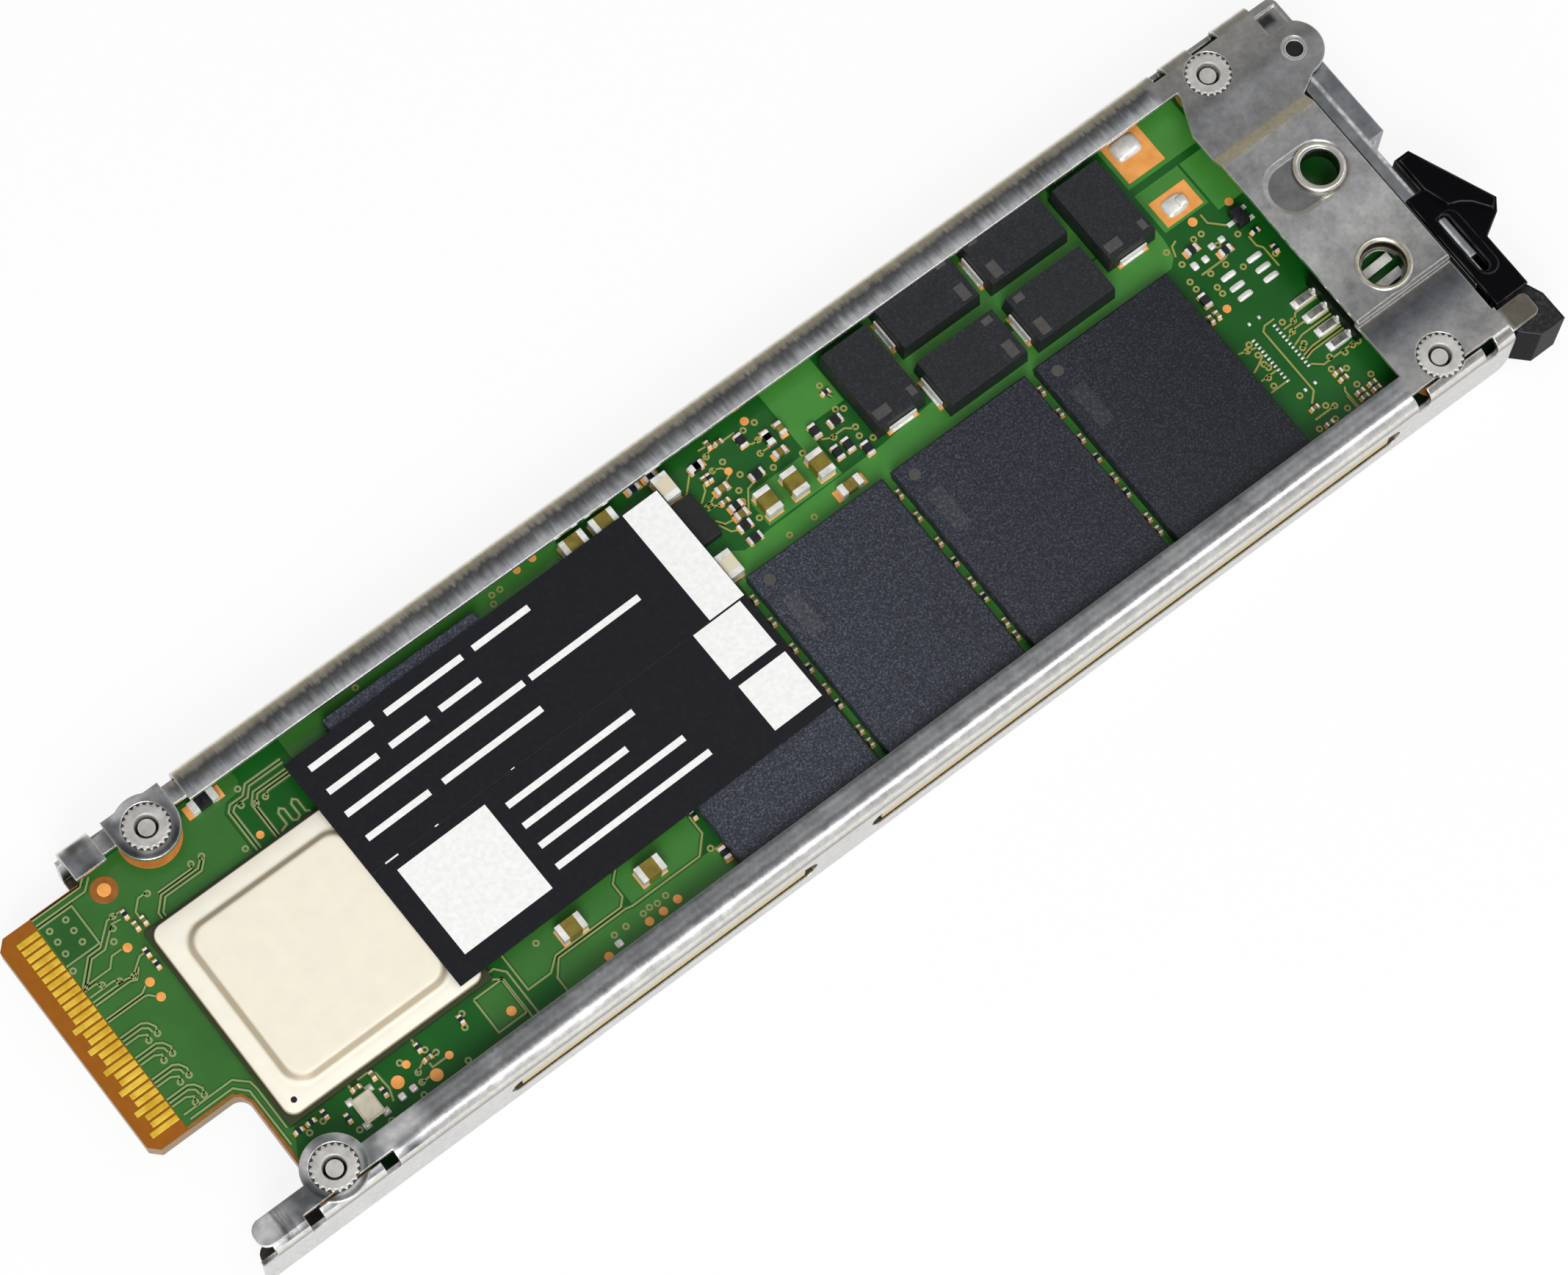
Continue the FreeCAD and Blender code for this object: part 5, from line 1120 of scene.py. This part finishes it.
def add_small_chips():
    """The smallest chip parts with their pads, and pads under the larger ones."""
    bodies = {"cap": Relief(), "res": Relief()}
    ends, pads = Relief(), Relief()
    for kind, (length, width, height) in CHIP_SIZES.items():
        band = length * END_SHARE
        body = bodies[kind.split("_")[-1]]
        places = list(CHIPS[kind])
        for x in GAP_COLUMNS:
            places += [(x, y, 1) for y in GAP_STEPS.get(kind, ())]
        for place in places:
            body.chip(*place, 0, length - 2 * band, width, PAD, PAD + height, CHIP_EASE)
            for side in (-1, 1):
                reach = side * (length - band) / 2
                ends.chip(*place, reach, band, width * END_WIDER, PAD, PAD + height * END_HIGHER, END_EASE)
                reach = side * (length / 2 + PAD_REACH)
                pads.chip(*place, reach, band * PAD_LONGER, width * PAD_WIDER, 0, PAD)
    for name, margin in PAD_MARGINS.items():
        for low, high in islands(name):
            place = middle(low, high)
            length, width = high[0] - low[0] + margin, high[1] - low[1] + margin
            pads.box(*place, length, width, 0, PAD)
            if name == "tantalum_terminals":
                if width > length:
                    width *= FILLET_SHARE
                else:
                    length *= FILLET_SHARE
                ends.box(*place, length, width, PAD, PAD + FILLET_HEIGHT, FILLET_EASE)
    x, y = REGULATOR
    bodies["res"].box(x, y, *REGULATOR_BODY, REGULATOR_EASE)
    for reach, step in REGULATOR_LEADS:
        ends.box(x + reach, y + step, *REGULATOR_LEAD)
    bodies["cap"].piece("small_capacitors", CERAMIC, "capacitor_ceramic")
    bodies["res"].piece("small_resistors", RESISTOR, "resistor_black")
    ends.piece("small_chip_ends", TIN, "tin")
    pads.piece("chip_pads", BARE_COPPER, "gold")


def on_label(u, v):
    """A place on the stickers, which lie slightly askew."""
    c, s = math.cos(math.radians(LABEL_TURN)), math.sin(math.radians(LABEL_TURN))
    return LABEL_CORNER[0] + u * c - v * s, LABEL_CORNER[1] + u * s + v * c


def add_label_print():
    """Plain white bars and fields where a sticker carries print, and the stickers' seam."""
    ink, seam = Relief(), Relief()
    level = board_box("label_lower")[1][2]
    seam.ribbon([on_label(u, SEAM_LINE) for u in SEAM_REACH], SEAM_WIDTH, level, level + PRINT / 2)
    seam.piece("label_seam", SHADOWED, "label_black")
    half = BAR_HEIGHT / 2
    bars = tuple((u, v - half, u + length, v + half) for u, v, length in LABEL_BARS)
    for field in LABEL_FIELDS + SEAM_GAPS + bars:
        ink.prism([on_label(u, v) for u, v in corners(*field)], level, level + PRINT)
    ink.piece("label_fields", PRINT_WHITE, "label_black")


def add_package_marks():
    """Polarity bars, round mould marks and faint fields on the moulded packages."""
    bars, dots, fields = Relief(), Relief(), Relief()
    inset = BAR_INSET + BAR_WIDTH / 2
    for number, end in TANTALUM_BARS.items():
        low, high = board_box("tantalum_%d" % number)
        x, y = middle(low, high)
        top = high[2]
        place = {"low": (x, low[1] + inset), "front": (high[0] - inset, y), "back": (low[0] + inset, y)}[end]
        turned = end != "low"
        for side, length in ((-1, BAR_LONG), (1, BAR_SHORT)):
            reach = side * ((high[turned] - low[turned] - length) / 2 - BAR_MARGIN)
            bars.chip(*place, turned, reach, length, BAR_WIDTH, top, top + PRINT)
    for number in TOP_FLASH:
        low, high = board_box("flash_%d" % number)
        x, y, top = low[0], high[1], high[2]
        dots.disc(x + DOT_INSET, y - DOT_INSET, DOT_RADIUS, top, top + PRINT / 2)
        fields.box(x + CODE_INSET, y - CODE_DROP, CODE_WIDTH, CODE_LENGTH, top, top + PRINT / 4)
    bars.piece("polarity_bars", BAR_GREY, "tantalum_case")
    dots.piece("package_dots", BAR_GREY, "mould_compound")
    fields.piece("package_fields", FAINT_MARK, "mould_compound")


def add_nuts():
    """Knurled nuts over dark rings of painted shadow, in place of the plain ones, and a dark disc of painted
    shade in the pin's bore.
    """
    nuts, shadow_rings, bore = Relief(), Relief(), Relief()
    sides = KNURL_STEPS * KNURL_TEETH
    for low, high in islands("clinch_nuts"):
        x, y = middle(low, high)
        outer = (high[0] - low[0]) / 2
        loops = []
        for radius, wave, level in NUT_PROFILE:
            plan = []
            for step in range(sides):
                a = 2 * math.pi * step / sides
                reach = outer * radius - wave * (step // 2 % 2)
                plan.append((x + reach * math.cos(a), y + reach * math.sin(a)))
            loops.append(nuts.loop(plan, high[2] - level))
        loops.append(nuts.loop(nuts.circle(x, y, outer * NUT_BORE, sides), low[2]))
        nuts.skin(loops, closed=True)
        shadow_rings.ring(x, y, outer * SEAT_INNER, outer, high[2] - SEAT_LOW, high[2] - SEAT_HIGH, SEAT_SIDES)
    low, high = board_box("handle_pin")
    bore.disc(*middle(low, high), PIN_BORE, high[2] - SEAT_LOW, high[2] - SEAT_HIGH)
    bore.piece("pin_bore", SHADOWED, "fastener_steel")
    nuts = nuts.piece("knurled_nuts", FASTENER, "fastener_steel")
    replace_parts(nuts, "clinch_nuts")
    shadow_rings.piece("seat_shadow_rings", SEAT_SHADOW, "fastener_steel")


def add_lid():
    """The controller's lid with the soft slopes of a stamping, in place of the plain one."""
    lid, mark = Relief(), Relief()
    low, high = board_box("controller_lid")
    x, y = middle(low, high)
    half = (high[0] - low[0]) / 2
    loops = []
    for inset, level, radius, shift in LID_PROFILE:
        loops.append(lid.loop(lid.rounded(x, y + shift, half - inset, radius), low[2] + level))
    lid.skin(loops, capped=True)
    flange = low[2] + LID_FLANGE
    mark.disc(low[0] + LID_MARK_INSET, low[1] + LID_MARK_INSET, LID_MARK, flange, flange + PRINT)
    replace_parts(lid.piece("formed_lid", NICKEL, "nickel", smooth=True), "controller_lid")
    mark.piece("lid_mark", RESISTOR, "nickel")


def add_sheet_forms():
    """Rolled edges and necks of the panel's two holes, and the start of a floor lip painted dark with shade.
    """
    rims, foot = Relief(), Relief()
    for setback, across, profile in HOLES:
        rise = [(radius, PANEL_LEVEL + level) for radius, level in profile]
        rims.turned(BRIDGE_END - setback, FRAME_MIDDLE + across, rise)
    rims.piece("hole_rims", RIM, "steel", smooth=True)
    foot.prism(points(FOOT_PLAN), *FOOT_LEVELS)
    foot.piece("prong_foot", FOOT_SHADE_METAL, "steel")


def add_latch_form():
    """The latch's raised grip, the rim of its guide slot and a paler face of painted sheen on its tongue."""
    form, face = Relief(), Relief()
    form.prism(points(GRIP_PLAN), LATCH_TOP - GRIP_SINK, LATCH_TOP + GRIP_RISE, GRIP_EASE)
    loops = [form.loop(form.stadium(*plan), LATCH_TOP + level) for *plan, level in SLOT_RIM]
    form.skin(loops, closed=True)
    form.piece("latch_form", LATCH, "latch_black", body="latch")
    face.prism(points(TONGUE_PLAN), TONGUE_TOP - GRIP_SINK, TONGUE_TOP + GRIP_SINK, GRIP_EASE)
    face.piece("tongue_sheen_face", TONGUE_SHEEN, "latch_black", body="latch")


def add_camera():
    """The photograph's viewpoint."""
    data = bpy.data.cameras.new("camera")
    data.lens = LENS_MM
    data.sensor_width = SENSOR_MM
    data.sensor_fit = "HORIZONTAL"
    camera = placed("camera", data)
    back = -CAMERA_LOOK.normalized()
    right = CAMERA_UP.cross(back).normalized()
    up = back.cross(right)
    camera.matrix_world = Matrix.Translation(CAMERA_AT) @ Matrix((right, up, back)).transposed().to_4x4()
    bpy.context.scene.camera = camera


def add_floor():
    """A pale floor that keeps the shadow; the camera and mirror-like metal see it nearly white."""
    mesh = bpy.data.meshes.new("floor")
    plan = corners(-FLOOR_HALF, -FLOOR_HALF, FLOOR_HALF, FLOOR_HALF)
    mesh.from_pydata([(x, y, 0) for x, y in plan], [], [range(len(plan))])
    floor = placed("floor", mesh)
    floor.location.z = CAD_BOX[0][2] - FLOOR_DROP
    f = Finish("floor_white", 1)
    f.nodes.remove(f.shader)
    paint = f.add("BsdfDiffuse", FLOOR_COLOUR).outputs["BSDF"]
    glow = f.add("Emission").outputs["Emission"]
    path = f.add("LightPath").outputs
    seen = f.math("MAXIMUM", path["Is Camera Ray"], path["Is Glossy Ray"])
    blend = f.add("MixShader", f.both(seen, FLOOR_GLOW), paint, glow)
    f.feed(f.nodes["Material Output"].inputs["Surface"], blend.outputs["Shader"])
    mesh.materials.append(f.material)


def add_world():
    """A soft room: pale low down, warmer and darker beyond the high side, grey overhead."""
    world = bpy.data.worlds.new("room")
    bpy.context.scene.world = world
    world.use_nodes = True
    sky = Network(world.node_tree, "Generated")
    height = sky.axis("Z")
    room, far_wall = sky.ramp(height, *ROOM), sky.ramp(height, *FAR_WALL)
    sky.feed(sky.nodes["Background"].inputs["Color"], sky.mix(sky.share("Y", *FAR_WALL_TURN), room, far_wall))


def add_lamp(name, place, length, width, watts):
    """A soft lamp aimed at the middle of the object."""
    data = bpy.data.lights.new(name, "AREA")
    data.shape = "RECTANGLE"
    data.size = length
    data.size_y = width
    data.energy = watts
    lamp = placed(name, data)
    lamp.location = place
    lamp.rotation_euler = (-Vector(place)).to_track_quat("-Z", "Y").to_euler()


dress_nodes()
add_board_artwork()
add_bare_metal()
add_small_chips()
add_label_print()
add_package_marks()
add_nuts()
add_lid()
add_sheet_forms()
add_latch_form()
add_camera()
add_floor()
add_world()
for lamp in LAMPS:
    add_lamp(*lamp)

bpy.context.scene.view_settings.view_transform = "Standard"
